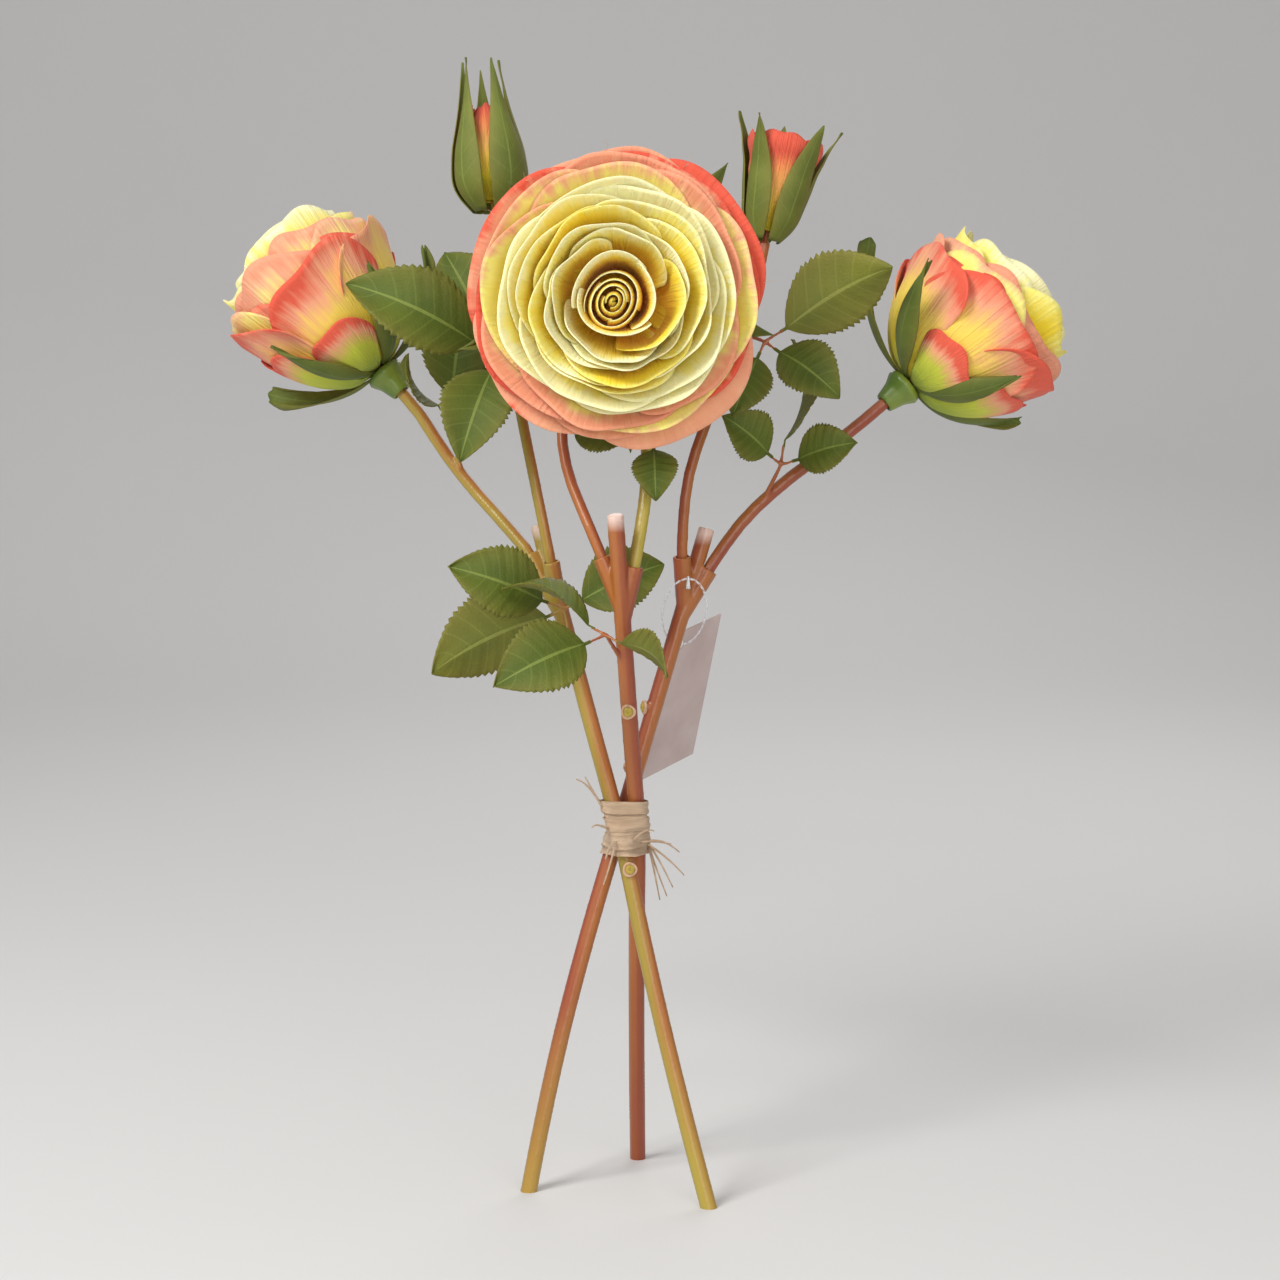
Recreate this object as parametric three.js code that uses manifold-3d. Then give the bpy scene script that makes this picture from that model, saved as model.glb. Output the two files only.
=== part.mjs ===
// A standing bunch of three artificial rose sprays, tied with raffia so that the cut stem ends form a tripod.
// Each spray is a moulded main stem with a rose branch, a bud branch and a trimmed stub at its fork.
// Roses are die-cut fabric whorls threaded on a peg, held by a moulded hip and a five-lobed calyx.
// Millimetres, +Z up. The front rose faces -Y, and the origin is under the middle of the bunch's box.
import * as THREE from "three";
import { mergeVertices } from "three/addons/utils/BufferGeometryUtils.js";
import Module from "manifold-3d";

const wasm = await Module();
wasm.setup();

// Driving dimensions
const CLEARANCE = 0.35; // between pieces that touch
const STEM_R = 3.1;
const ROSE_BRANCH_R = 2.4;
const BUD_BRANCH_R = 2.1;
const PEG_R = 1.1; // the thin end of a branch, which the flower is threaded on
const COLLAR_WALL = 0.9; // wall of the socket that a branch plugs into
const SOCKET_DEPTH = 6; // how far a branch plugs in
const RACHIS_R = 0.8; // leaf stalks
const FABRIC = 0.5; // petals, leaves and sepals
const WHORL_PITCH = FABRIC + CLEARANCE; // stacking of the whorls along the peg
const WHORL_TURN = 0.63; // from one whorl to the next, in radians
const HIP_LENGTH = 13;
const HIP_TOP_R = 7.5;
const SHOULDER = -5; // where a branch narrows to its peg, along the flower's axis
const LEAF_LENGTH = 46;
const LEAF_WIDTH = 30;
const END_STALK = 8; // from where a sprig parts to its end leaflet
const SIDE_STALK = 6; // and to its side leaflets
const ROSE_FORK = 76; // above the middle of the tie, where the rose branch leaves the main stem
const BUD_FORK = 80;
const TIE_HEIGHT = 20;
const SCAR_DROP = 4; // from the tie's lower edge to the leaf scar below it
const TIE_Z = 150; // middle of the raffia
const TIE_GAP = 0.3; // between the stems in the tie
const SEAT_SHARE = 0.72; // how far a stem passes from the middle of the tie, in spacings of two stems
const RAFFIA = 0.7; // thickness of the wrapping
const STRAND_R = 0.45;
const CARD = { width: 32, length: 62, thickness: 0.5 };
const CARD_HOLE = { radius: 1.9, across: 9, drop: 6 };
const LOOP_R = 0.45;
const LOOP_HALF_WIDTH = 8;

const UP = new THREE.Vector3(0, 0, 1);
const point = ([x, y, z]) => new THREE.Vector3(x, y, z);
const along = (from, direction, distance) => from.clone().addScaledVector(direction, distance);
const aboveTie = ([x, y, z]) => new THREE.Vector3(x, y, TIE_Z + z);

// The unit vector on a bearing round +Z, raised from level, both in degrees.
function heading(bearing, rise) {
  const turn = THREE.MathUtils.degToRad(bearing);
  const lift = THREE.MathUtils.degToRad(rise);
  return new THREE.Vector3(Math.cos(turn) * Math.cos(lift), Math.sin(turn) * Math.cos(lift), Math.sin(lift));
}

// Booleans

function solid(geometry) {
  const bare = geometry.index ? geometry.toNonIndexed() : geometry.clone();
  bare.deleteAttribute("normal");
  bare.deleteAttribute("uv");
  const merged = mergeVertices(bare, 1e-4);
  return new wasm.Manifold(new wasm.Mesh({
    numProp: 3,
    vertProperties: merged.attributes.position.array,
    triVerts: new Uint32Array(merged.index.array),
  }));
}

function geometryOf(manifold) {
  const { numProp, vertProperties, triVerts } = manifold.getMesh();
  const positions = new Float32Array((vertProperties.length / numProp) * 3);
  for (let i = 0; i < positions.length / 3; i++) {
    positions.set(vertProperties.subarray(i * numProp, i * numProp + 3), i * 3);
  }
  const geometry = new THREE.BufferGeometry();
  geometry.setAttribute("position", new THREE.BufferAttribute(positions, 3));
  geometry.setIndex(new THREE.BufferAttribute(new Uint32Array(triVerts), 1));
  return geometry;
}

const join = (...geometries) =>
  geometryOf(geometries.map(solid).reduce((sum, next) => sum.add(next)));

const cut = (geometry, ...tools) =>
  geometryOf(tools.map(solid).reduce((left, tool) => left.subtract(tool), solid(geometry)));

// Basic shapes

// A round rod along a smooth curve through the points.
function rod(points, radius, { sides = 8, step = 12 } = {}) {
  const curve = new THREE.CatmullRomCurve3(points, false, "centripetal");
  const ring = Array.from({ length: sides }, (_, k) => {
    const angle = (2 * Math.PI * k) / sides;
    return new THREE.Vector2(radius * Math.cos(angle), radius * Math.sin(angle));
  });
  return new THREE.ExtrudeGeometry(new THREE.Shape(ring), {
    steps: Math.max(1, Math.round(curve.getLength() / step)),
    extrudePath: curve,
    bevelEnabled: false,
  });
}

// A straight, tapered plug from one point to another.
function plug(from, to, fromRadius, toRadius, sides = 8) {
  const axis = to.clone().sub(from);
  return new THREE.CylinderGeometry(toRadius, fromRadius, axis.length(), sides)
    .rotateX(Math.PI / 2)
    .translate(0, 0, axis.length() / 2)
    .applyQuaternion(new THREE.Quaternion().setFromUnitVectors(UP, axis.normalize()))
    .translate(from.x, from.y, from.z);
}

// A thin sheet of even thickness over the surface at(u, v), with u and v from 0 to 1.
// When wrapped, v = 1 meets v = 0, and the sheet is a ring or a cup with a hole at its hub.
function sheet(at, { rows, columns, thickness, wrapped = false }) {
  const across = wrapped ? columns : columns + 1;
  const sides = [[], []];
  const small = 1e-3;
  for (let i = 0; i <= rows; i++) {
    for (let j = 0; j < across; j++) {
      const [u, v] = [i / rows, j / columns];
      const [u0, u1] = [Math.max(0, u - small), Math.min(1, u + small)];
      const [v0, v1] = wrapped ? [v - small, v + small] : [Math.max(0, v - small), Math.min(1, v + small)];
      const normal = at(u1, v).sub(at(u0, v)).cross(at(u, v1).sub(at(u, v0))).normalize();
      sides[0].push(along(at(u, v), normal, thickness / 2));
      sides[1].push(along(at(u, v), normal, -thickness / 2));
    }
  }
  const geometry = new THREE.BufferGeometry().setFromPoints(sides.flat());
  const far = sides[0].length;
  const id = (side, i, j) => side * far + i * across + (j % across);
  const index = [];
  const quad = (a, b, c, d) => index.push(a, b, c, a, c, d);
  for (let i = 0; i < rows; i++) {
    for (let j = 0; j < columns; j++) {
      quad(id(0, i, j), id(0, i + 1, j), id(0, i + 1, j + 1), id(0, i, j + 1));
      quad(id(1, i, j), id(1, i, j + 1), id(1, i + 1, j + 1), id(1, i + 1, j));
    }
    if (!wrapped) {
      quad(id(0, i, 0), id(1, i, 0), id(1, i + 1, 0), id(0, i + 1, 0));
      quad(id(0, i, columns), id(0, i + 1, columns), id(1, i + 1, columns), id(1, i, columns));
    }
  }
  for (let j = 0; j < columns; j++) {
    quad(id(0, 0, j), id(0, 0, j + 1), id(1, 0, j + 1), id(1, 0, j));
    quad(id(0, rows, j), id(1, rows, j), id(1, rows, j + 1), id(0, rows, j + 1));
  }
  geometry.setIndex(index);
  return geometry;
}

// Flower parts, each in its own frame with +Z along the flower's axis and z = 0 where the petals start

// How far out the edge reaches at an angle, from 1 in the middle of a lobe to 1 - depth between two.
function lobeReach(angle, lobes, depth, sharpness) {
  const between = (1 - Math.cos(lobes * angle)) / 2;
  return 1 - depth * between ** sharpness;
}

// The profile of a cup that is part of an ellipse: radius and height at a share of the way to its rim.
function cup({ radius, height, opening, level }, out) {
  const most = THREE.MathUtils.degToRad(opening);
  const r = (radius * Math.sin(most * out)) / Math.sin(most);
  const z = level * WHORL_PITCH + (height * (1 - Math.cos(most * out))) / (1 - Math.cos(most));
  return [r, z];
}

// A whorl of petals: a scalloped cup with a hole that the peg passes through.
function whorl(shape) {
  const hole = (PEG_R + CLEARANCE) / shape.radius;
  return sheet((u, v) => {
    const angle = 2 * Math.PI * v;
    const reach = lobeReach(angle + WHORL_TURN * shape.level, 5, 0.16, 3);
    const [r, z] = cup(shape, hole + (1 - hole) * u * reach);
    return new THREE.Vector3(r * Math.cos(angle), r * Math.sin(angle), z);
  }, { rows: 3, columns: 20, thickness: FABRIC, wrapped: true });
}

// The rolled heart of a rose, with a blind hole for the end of the peg.
function heart(shape) {
  const base = shape.level * WHORL_PITCH;
  const top = base + shape.height;
  const hole = PEG_R + CLEARANCE;
  const profile = [
    [0, base + 4], [hole, base + 4], [hole, base + 0.2], ...[0.3, 0.5, 0.7, 0.86].map((out) => cup(shape, out)),
    [0.98 * shape.radius, top - 2], [0.6 * shape.radius, top], [0, top - 2],
  ];
  return lathe(profile, 12);
}

function lathe(profile, sides) {
  const points = profile.map(([r, z]) => new THREE.Vector2(r, z));
  return new THREE.LatheGeometry(points, sides).rotateX(Math.PI / 2);
}

// The five-lobed green calyx under a rose, which follows the outer whorl.
function calyxStar(shape) {
  const hole = (PEG_R + CLEARANCE) / shape.radius;
  return sheet((u, v) => {
    const angle = 2 * Math.PI * v;
    const reach = lobeReach(angle + 0.3, 5, 0.85, 0.5);
    const [r, z] = cup({ ...shape, level: -1 }, hole + (1 - hole) * u * reach);
    return new THREE.Vector3(r * Math.cos(angle), r * Math.sin(angle), z);
  }, { rows: 4, columns: 20, thickness: FABRIC, wrapped: true });
}

// The moulded hip, bored for the branch and, above its shoulder, for the peg.
function hip(branchRadius) {
  const top = -WHORL_PITCH - WHORL_PITCH;
  const bore = branchRadius + 1.5 * CLEARANCE;
  const narrow = PEG_R + CLEARANCE;
  const profile = [
    [bore, -HIP_LENGTH], [bore + 0.9, -HIP_LENGTH], [0.72 * HIP_TOP_R, -0.55 * HIP_LENGTH],
    [HIP_TOP_R, top - 2], [HIP_TOP_R - 0.6, top], [narrow, top], [narrow, SHOULDER + CLEARANCE],
    [bore, SHOULDER + CLEARANCE], [bore, -HIP_LENGTH],
  ];
  return lathe(profile, 12);
}

// The petals of a bud, furled into one body with a blind hole for the peg.
function budPetals({ petals }) {
  const hole = PEG_R + CLEARANCE;
  const base = petals[0][1];
  return lathe([[0, base + 4], [hole, base + 4], [hole, base], ...petals], 12);
}

// A bud's calyx: a cup whose five sepals stand up round the petals.
function budCalyx({ calyx, turn }) {
  const hub = [PEG_R + CLEARANCE, 0.6];
  const profile = new THREE.SplineCurve([hub, ...calyx].map(([r, z]) => new THREE.Vector2(r, z)));
  return sheet((u, v) => {
    const angle = 2 * Math.PI * v;
    const { x: r, y: z } = profile.getPoint(u * lobeReach(angle + turn, 5, 0.6, 1.1));
    return new THREE.Vector3(r * Math.cos(angle), r * Math.sin(angle), z);
  }, { rows: 6, columns: 20, thickness: FABRIC, wrapped: true });
}
const CLOSED_BUD = {
  petals: [[6, 3.2], [9.6, 9.5], [9.6, 19], [7.6, 31], [4, 38], [0, 39]],
  calyx: [[8, 1.1], [13.4, 8], [12.8, 19], [10, 33], [7.4, 45], [6.5, 56]], turn: 0.9,
};
const OPEN_BUD = {
  petals: [[5, 2.8], [6.8, 8], [8.6, 16], [10.6, 27], [14, 37], [12, 38.5], [0, 36]],
  calyx: [[6.5, 1.1], [9.4, 7], [10.8, 16], [12.8, 28], [16.8, 39], [20.5, 47]], turn: 0.45,
};

// One leaflet, lying along +Y from its base with its upper face to +Z, folded a little along the midrib.
function leaflet({ length, width, fold = 0.28, arch = 0.12 }) {
  const halfWidth = (u) => Math.max(0.5, 0.5 * width * Math.sin(Math.PI * u ** 0.82) ** 0.9);
  return sheet((u, v) => {
    const side = 2 * v - 1;
    const out = side * halfWidth(u);
    const lift = arch * length * 4 * u * (1 - u) + fold * Math.abs(out);
    return new THREE.Vector3(out, u * length, lift);
  }, { rows: 6, columns: 2, thickness: FABRIC });
}

// Materials

const material = (color, roughness) =>
  new THREE.MeshStandardMaterial({ color, roughness, metalness: 0 });
const MATERIALS = {
  stem: material("#a86b35", 0.45),
  leaf: material("#5c7032", 0.6),
  green: material("#6b8038", 0.5),
  petalOuter: material("#e8926c", 0.8),
  petalInner: material("#eedf7c", 0.8),
  raffia: material("#d9b98c", 0.85),
  card: material("#cfc3bd", 0.7),
  loop: material("#d8d8dc", 0.3),
};

function add(parent, name, geometry, look) {
  const mesh = new THREE.Mesh(geometry, look);
  mesh.name = name;
  parent.add(mesh);
  return mesh;
}

// The three sprays come from one mould and differ in how they are bent. Places are measured from the bunch's
// axis and heights from the middle of the tie. Directions are a bearing round +Z and a rise, in degrees.
// A stem stands on its foot, passes the tie on its seat's bearing and ends at the tip of its stub, and its bow
// is how far the leg bends outward. A mouth is where a branch leaves its collar, measured from the fork, and a
// bend is how far the middle of a branch is pushed aside. Cups are given as radius, height and opening.
// A sprig has its height on its host and its stalk. A leaflet has the way that its upper face looks, its
// bearing, its rise and its length in leaf lengths, and the first one is at the end of the sprig.
const SPRAYS = {
  left: {
    seat: -114, foot: [35, -33], bow: -2, tip: [-32, 24, 109],
    rose: {
      at: [-92, 40, 168], aim: [170, 48], mouth: [-12, 6, 22], bend: [-3, 2, -3],
      sepals: [44, 30, 62], whorls: [[33, 44, 72], [31, 52, 78], [26, 58, 82]], heart: [18, 59, 86],
    },
    bud: { at: [-48, 24, 224], aim: [180, 85], mouth: [-3, -4, 16], bend: [0, 4, 0], shape: CLOSED_BUD },
    scars: [[-TIE_HEIGHT / 2 - SCAR_DROP, -80]],
    sprigs: {
      rose: {
        host: "rose_branch", height: 127, stalk: [-5, -3, 21],
        leaves: [["front", 40, 80, 0.8], ["left", -140, 50, 0.5], ["front", 20, 30, 0.5]],
      },
      bud: {
        host: "bud_branch", height: 166, stalk: [-5, -11, 5],
        leaves: [["front", -165, 25, 1.1], ["front", -125, -60, 0.8], ["front", 155, 60, 0.8]],
      },
      stem: {
        host: "main_stem", height: 57, stalk: [-4, -9, 22],
        leaves: [["front", -160, 20, 0.8], ["back", 180, -25, 1], ["front", 0, 25, 0.7]],
      },
    },
  },
  middle: {
    seat: 5, foot: [5, 42], bow: -4, tip: [-3, -31, 113],
    rose: {
      at: [-2, -30, 187], aim: [-90, -2], mouth: [4, -2, 19], bend: [3, 0, 0],
      sepals: [60, 10, 30], whorls: [[51, 17, 50], [47, 22, 56], [39, 28, 64], [31, 32, 70], [23, 34, 76]],
      heart: [14.5, 34, 86],
    },
    bud: { at: [-22, 4, 164], aim: [75, 80], mouth: [-7, 1, 18], bend: [0, 0, 0], shape: CLOSED_BUD },
    scars: [[43, -95]],
    sprigs: {
      stem: {
        host: "main_stem", height: 59, stalk: [-7, -10, 12],
        leaves: [["front", -150, -20, 0.8], ["right", -35, -25, 0.5], ["up", 165, 25, 0.75]],
      },
      rose: {
        host: "rose_branch", height: 135, stalk: [2, -8, 7],
        leaves: [["front", 20, 40, 0.6], ["front", -85, -65, 0.4], ["front", 160, 0, 0.5]],
      },
    },
  },
  right: {
    seat: 112, foot: [-38, -10], bow: 3, tip: [30, 12, 108],
    rose: {
      at: [105, 24, 162], aim: [10, 40], mouth: [10, 2, 17], bend: [0, 0, 0],
      sepals: [48, 28, 60], whorls: [[35, 40, 72], [33, 46, 78], [28, 52, 82]], heart: [19, 54, 86],
    },
    bud: { at: [51, 12, 212], aim: [0, 78], mouth: [-1, -5, 18], bend: [0, 2, 0], shape: OPEN_BUD },
    scars: [[43, -165], [21, 135]],
    sprigs: {
      rose: {
        host: "rose_branch", height: 118, stalk: [6, -8, 13],
        leaves: [["right", 40, 80, 0.8], ["front", -150, 35, 0.5], ["front", -25, 15, 0.5]],
      },
      bud: {
        host: "bud_branch", height: 179, stalk: [8, -11, -4],
        leaves: [["back", -15, 30, 0.95], ["front", -25, -35, 0.6], ["front", -140, -60, 0.5]],
      },
    },
  },
};
const LOOKS = {
  front: [0, -1, 0.3],
  back: [0, 1, 0.4],
  left: [-1, -0.3, 0.2],
  right: [1, 0, 0.3],
  up: [0, 0, 1],
};

// The raffia's loose ends: the bearing and the height where each leaves the band, its rise and its length.
const STRANDS = [
  [190, 8, 45, 13], [205, 7, 60, 14], [215, -1, 10, 6], [222, -7, -65, 14],
  [325, -5, 20, 11], [330, -6, -10, 14], [335, -7, -35, 17], [340, -7, -60, 19], [345, -8, -70, 20],
  [350, -8, -80, 21],
];

// Stems and branches

const cutEnd = (points) => {
  const [first, second] = points;
  const below = along(first, first.clone().sub(second).normalize(), 6);
  return [below, ...points];
};
const ground = new THREE.BoxGeometry(300, 300, 40).translate(0, 0, -20);

// A main stem has a leg that bows on its way down from the tie, and a straight upper part.
function stemRoute({ seat, foot, bow, tip }) {
  const inTie = heading(seat, 0).multiplyScalar(SEAT_SHARE * (2 * STEM_R + TIE_GAP)).setZ(TIE_Z);
  const base = new THREE.Vector3(...foot, 0);
  const outward = base.clone().normalize();
  const leg = [0, 0.25, 0.5, 0.75].map((share) =>
    along(base.clone().lerp(inTie, share), outward, bow * Math.sin(Math.PI * share)));
  const upper = [0, 1 / 3, 2 / 3, 1].map((share) => inTie.clone().lerp(aboveTie(tip), share));
  return cutEnd([...leg, ...upper]);
}

function flowerPlace({ at, aim }) {
  const direction = heading(...aim);
  return { base: aboveTie(at), direction, turn: new THREE.Quaternion().setFromUnitVectors(UP, direction) };
}

// A branch runs on from its collar and ends straight in its flower, where it narrows to the peg.
function branchRoute(mouth, outward, flower, lead, shoulder) {
  const { base, direction } = flowerPlace(flower);
  const end = along(base, direction, shoulder - lead);
  const reach = 0.4 * mouth.distanceTo(end);
  const [leave, arrive] = [along(mouth, outward, reach), along(end, direction, -reach)];
  const curve = new THREE.CubicBezierCurve3(mouth, leave, arrive, end);
  const bend = point(flower.bend);
  const bent = [0, 0.25, 0.5, 0.75].map((share) =>
    along(curve.getPoint(share), bend, Math.sin(Math.PI * share)));
  return [...bent, end, along(base, direction, shoulder - lead / 2), along(base, direction, shoulder)];
}

// A branch plugs into a socket in the main stem's fork.
function branchPieces(stemLine, flower, { radius, fork, lead, shoulder, pegTop }) {
  const { base, direction } = flowerPlace(flower);
  const root = pointAtHeight(stemLine, TIE_Z + fork);
  const mouth = root.clone().add(point(flower.mouth));
  const outward = mouth.clone().sub(root).normalize();
  const wide = radius + 1.2 * CLEARANCE;
  const route = [along(mouth, outward, -SOCKET_DEPTH), ...branchRoute(mouth, outward, flower, lead, shoulder)];
  const peg = plug(along(base, direction, shoulder - 1), along(base, direction, pegTop), PEG_R, PEG_R, 6);
  const floor = plug(along(route[0], outward, -CLEARANCE), along(route[0], outward, CLEARANCE), wide, wide);
  const socket = join(rod(route, wide, { step: 9 }), floor);
  const collar = plug(root, mouth, STEM_R, wide + COLLAR_WALL);
  return { route, body: join(rod(route, radius, { step: 9 }), peg), socket, collar };
}

function pointAtHeight(points, z) {
  const curve = new THREE.CatmullRomCurve3(points, false, "centripetal");
  let [low, high] = [0, 1];
  for (let n = 0; n < 40; n++) {
    const middle = (low + high) / 2;
    if (curve.getPoint(middle).z < z) low = middle;
    else high = middle;
  }
  return curve.getPoint(low);
}

// A trimmed leaf peg: a short ring with the cut stalk in it.
function scar(centre, outward) {
  const lip = along(centre, outward, STEM_R + 0.7);
  return join(plug(centre, lip, 2.3, 2.1), plug(centre, along(lip, outward, 0.9), 1.4, 1.3));
}

// Where a sprig springs from its host, where it parts, and its leaflets.
function sprigPlaces({ host, height, stalk, leaves }, lines) {
  const root = pointAtHeight(lines[host], TIE_Z + height);
  const fork = root.clone().add(point(stalk));
  const leaflets = leaves.map(([look, bearing, rise, share], n) => {
    const forward = heading(bearing, rise);
    const base = along(fork, forward, n === 0 ? END_STALK : SIDE_STALK);
    return { look, forward, base, length: share * LEAF_LENGTH };
  });
  return { host, root, fork, leaflets };
}

function stalks(sprigs, piece) {
  return Object.values(sprigs).filter(({ host }) => host === piece).flatMap(({ root, fork, leaflets }) => {
    const run = fork.clone().sub(root).normalize();
    return [
      plug(root, along(fork, run, RACHIS_R), 1.5 * RACHIS_R, RACHIS_R, 5),
      ...leaflets.map(({ base }) => plug(fork, base, RACHIS_R, 0.8 * RACHIS_R, 5)),
    ];
  });
}

// Adds the stem and its two branches, and returns the places of the sprigs that grow on them.
function addStems(group, side, line, { rose, bud, scars, sprigs }) {
  const pegTop = 3.4 + rose.whorls.length * WHORL_PITCH;
  const roseFit = { radius: ROSE_BRANCH_R, fork: ROSE_FORK, lead: HIP_LENGTH + 3, shoulder: SHOULDER, pegTop };
  const budFit = { radius: BUD_BRANCH_R, fork: BUD_FORK, lead: 12, shoulder: -CLEARANCE, pegTop: 5 };
  const branches = { rose: branchPieces(line, rose, roseFit), bud: branchPieces(line, bud, budFit) };
  const lines = { main_stem: line, rose_branch: branches.rose.route, bud_branch: branches.bud.route };
  const placed = Object.entries(sprigs).map(([key, sprig]) => [key, sprigPlaces(sprig, lines)]);
  const places = Object.fromEntries(placed);
  const knobs = scars.map(([height, bearing]) =>
    scar(pointAtHeight(line, TIE_Z + height), heading(bearing, 0)));
  const collars = [branches.rose.collar, branches.bud.collar];
  const whole = join(rod(line, STEM_R), ...collars, ...knobs, ...stalks(places, "main_stem"));
  const sockets = [branches.rose.socket, branches.bud.socket];
  add(group, `main_stem_${side}`, cut(whole, ...sockets, ground), MATERIALS.stem);
  for (const [kind, { body }] of Object.entries(branches)) {
    add(group, `${kind}_branch_${side}`, join(body, ...stalks(places, `${kind}_branch`)), MATERIALS.stem);
  }
  return places;
}

// Flowers

const cupOf = ([radius, height, opening]) => ({ radius, height, opening });

function headGroup(group, flower) {
  const head = new THREE.Group();
  const { base, turn } = flowerPlace(flower);
  head.position.copy(base);
  head.quaternion.copy(turn);
  group.add(head);
  return head;
}

function addRose(group, side, rose) {
  const head = headGroup(group, rose);
  add(head, `rose_hip_${side}`, hip(ROSE_BRANCH_R), MATERIALS.green);
  add(head, `rose_calyx_${side}`, calyxStar(cupOf(rose.sepals)), MATERIALS.green);
  rose.whorls.forEach((size, level) => {
    const look = level < 2 ? MATERIALS.petalOuter : MATERIALS.petalInner;
    add(head, `petals_${side}_${level + 1}`, whorl({ ...cupOf(size), level }), look);
  });
  const rolled = heart({ ...cupOf(rose.heart), level: rose.whorls.length });
  add(head, `petals_${side}_heart`, rolled, MATERIALS.petalInner);
}

function addBud(group, side, bud) {
  const head = headGroup(group, bud);
  add(head, `bud_calyx_${side}`, budCalyx(bud.shape), MATERIALS.green);
  add(head, `bud_petals_${side}`, budPetals(bud.shape), MATERIALS.petalOuter);
}

function addLeaves(group, side, sprig, { leaflets }) {
  leaflets.forEach(({ look, forward, base, length }, n) => {
    const across = forward.clone().cross(point(LOOKS[look])).normalize();
    const up = across.clone().cross(forward);
    const width = LEAF_WIDTH * Math.min(1, (length / LEAF_LENGTH) ** 0.7);
    const leaf = add(group, `leaf_${side}_${sprig}_${n + 1}`, leaflet({ length, width }), MATERIALS.leaf);
    leaf.quaternion.setFromRotationMatrix(new THREE.Matrix4().makeBasis(across, forward, up));
    leaf.position.copy(along(base, forward, RACHIS_R + CLEARANCE));
  });
}

const bunch = new THREE.Group();
const stemLines = [];
for (const [side, spray] of Object.entries(SPRAYS)) {
  const group = new THREE.Group();
  const line = stemRoute(spray);
  stemLines.push(line);
  const places = addStems(group, side, line, spray);
  addRose(group, side, spray.rose);
  addBud(group, side, spray.bud);
  Object.entries(places).forEach(([sprig, place]) => addLeaves(group, side, sprig, place));
  bunch.add(group);
}

// Raffia: a band over the hull of the three stems, with its loose ends

function bandPoint(bearing, z) {
  const outward = heading(bearing, 0);
  const centres = stemLines.map((line) => pointAtHeight(line, z));
  // The smooth maximum of the stems' support distances keeps the band round at its corners.
  const weights = centres.map((centre) => Math.exp(3 * centre.dot(outward)));
  const total = weights.reduce((sum, weight) => sum + weight, 0);
  const mean = new THREE.Vector3();
  centres.forEach((centre, n) => mean.addScaledVector(centre, weights[n] / total));
  return along(mean, outward, 1.12 * STEM_R + CLEARANCE + RAFFIA / 2).setZ(z);
}

const band = sheet((u, v) => bandPoint(360 * v, TIE_Z + TIE_HEIGHT * (u - 0.5)),
  { rows: 4, columns: 24, thickness: RAFFIA, wrapped: true });
const strands = STRANDS.map(([bearing, height, rise, length]) => {
  const start = bandPoint(bearing, TIE_Z + height);
  const end = along(start, heading(bearing, rise), length);
  const sag = start.clone().lerp(end, 0.5).add(new THREE.Vector3(0, 0, 0.08 * length));
  return rod([start, sag, end], STRAND_R, { sides: 4, step: 8 });
});
add(bunch, "raffia_tie", join(band, ...strands), MATERIALS.raffia);

// Swing tag, hung behind the right stem on a nylon loop

const cardCorner = aboveTie([16, 13, 68]);
const cardAcross = heading(50, 14);
const cardFace = cardAcross.clone().cross(heading(111, -63)).normalize();
const cardDown = cardFace.clone().cross(cardAcross);
const blank = new THREE.BoxGeometry(CARD.width, CARD.length, CARD.thickness)
  .translate(CARD.width / 2, CARD.length / 2, 0);
const punch = new THREE.CylinderGeometry(CARD_HOLE.radius, CARD_HOLE.radius, 4 * CARD.thickness, 16)
  .rotateX(Math.PI / 2)
  .translate(CARD_HOLE.across, CARD_HOLE.drop, 0);
const card = add(bunch, "swing_tag", cut(blank, punch), MATERIALS.card);
card.quaternion.setFromRotationMatrix(new THREE.Matrix4().makeBasis(cardAcross, cardDown, cardFace));
card.position.copy(cardCorner);

// The loop is an ellipse from the card's hole over the front of the stem.
const eye = along(along(cardCorner, cardAcross, CARD_HOLE.across), cardDown, CARD_HOLE.drop);
const loopTop = aboveTie([23, 2, 90]);
const loopLine = new THREE.CatmullRomCurve3(Array.from({ length: 16 }, (_, k) => {
  const turn = (2 * Math.PI * k) / 16;
  const onAxis = eye.clone().lerp(loopTop, (1 + Math.cos(turn)) / 2);
  return onAxis.add(new THREE.Vector3(LOOP_HALF_WIDTH * Math.sin(turn), 0, 0));
}), true, "centripetal");
add(bunch, "tag_loop", new THREE.TubeGeometry(loopLine, 28, LOOP_R, 5, true), MATERIALS.loop);

// The whole bunch stands with its box centred over the origin.
const box = new THREE.Box3().setFromObject(bunch);
bunch.position.set(-(box.min.x + box.max.x) / 2, -(box.min.y + box.max.y) / 2, -box.min.z);
const part = new THREE.Group();
part.add(bunch);

export default part;
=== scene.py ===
import math
import random

import bpy
import numpy as np
from bpy.props import FloatProperty, FloatVectorProperty, IntProperty, PointerProperty
from mathutils import Matrix, Vector


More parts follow.
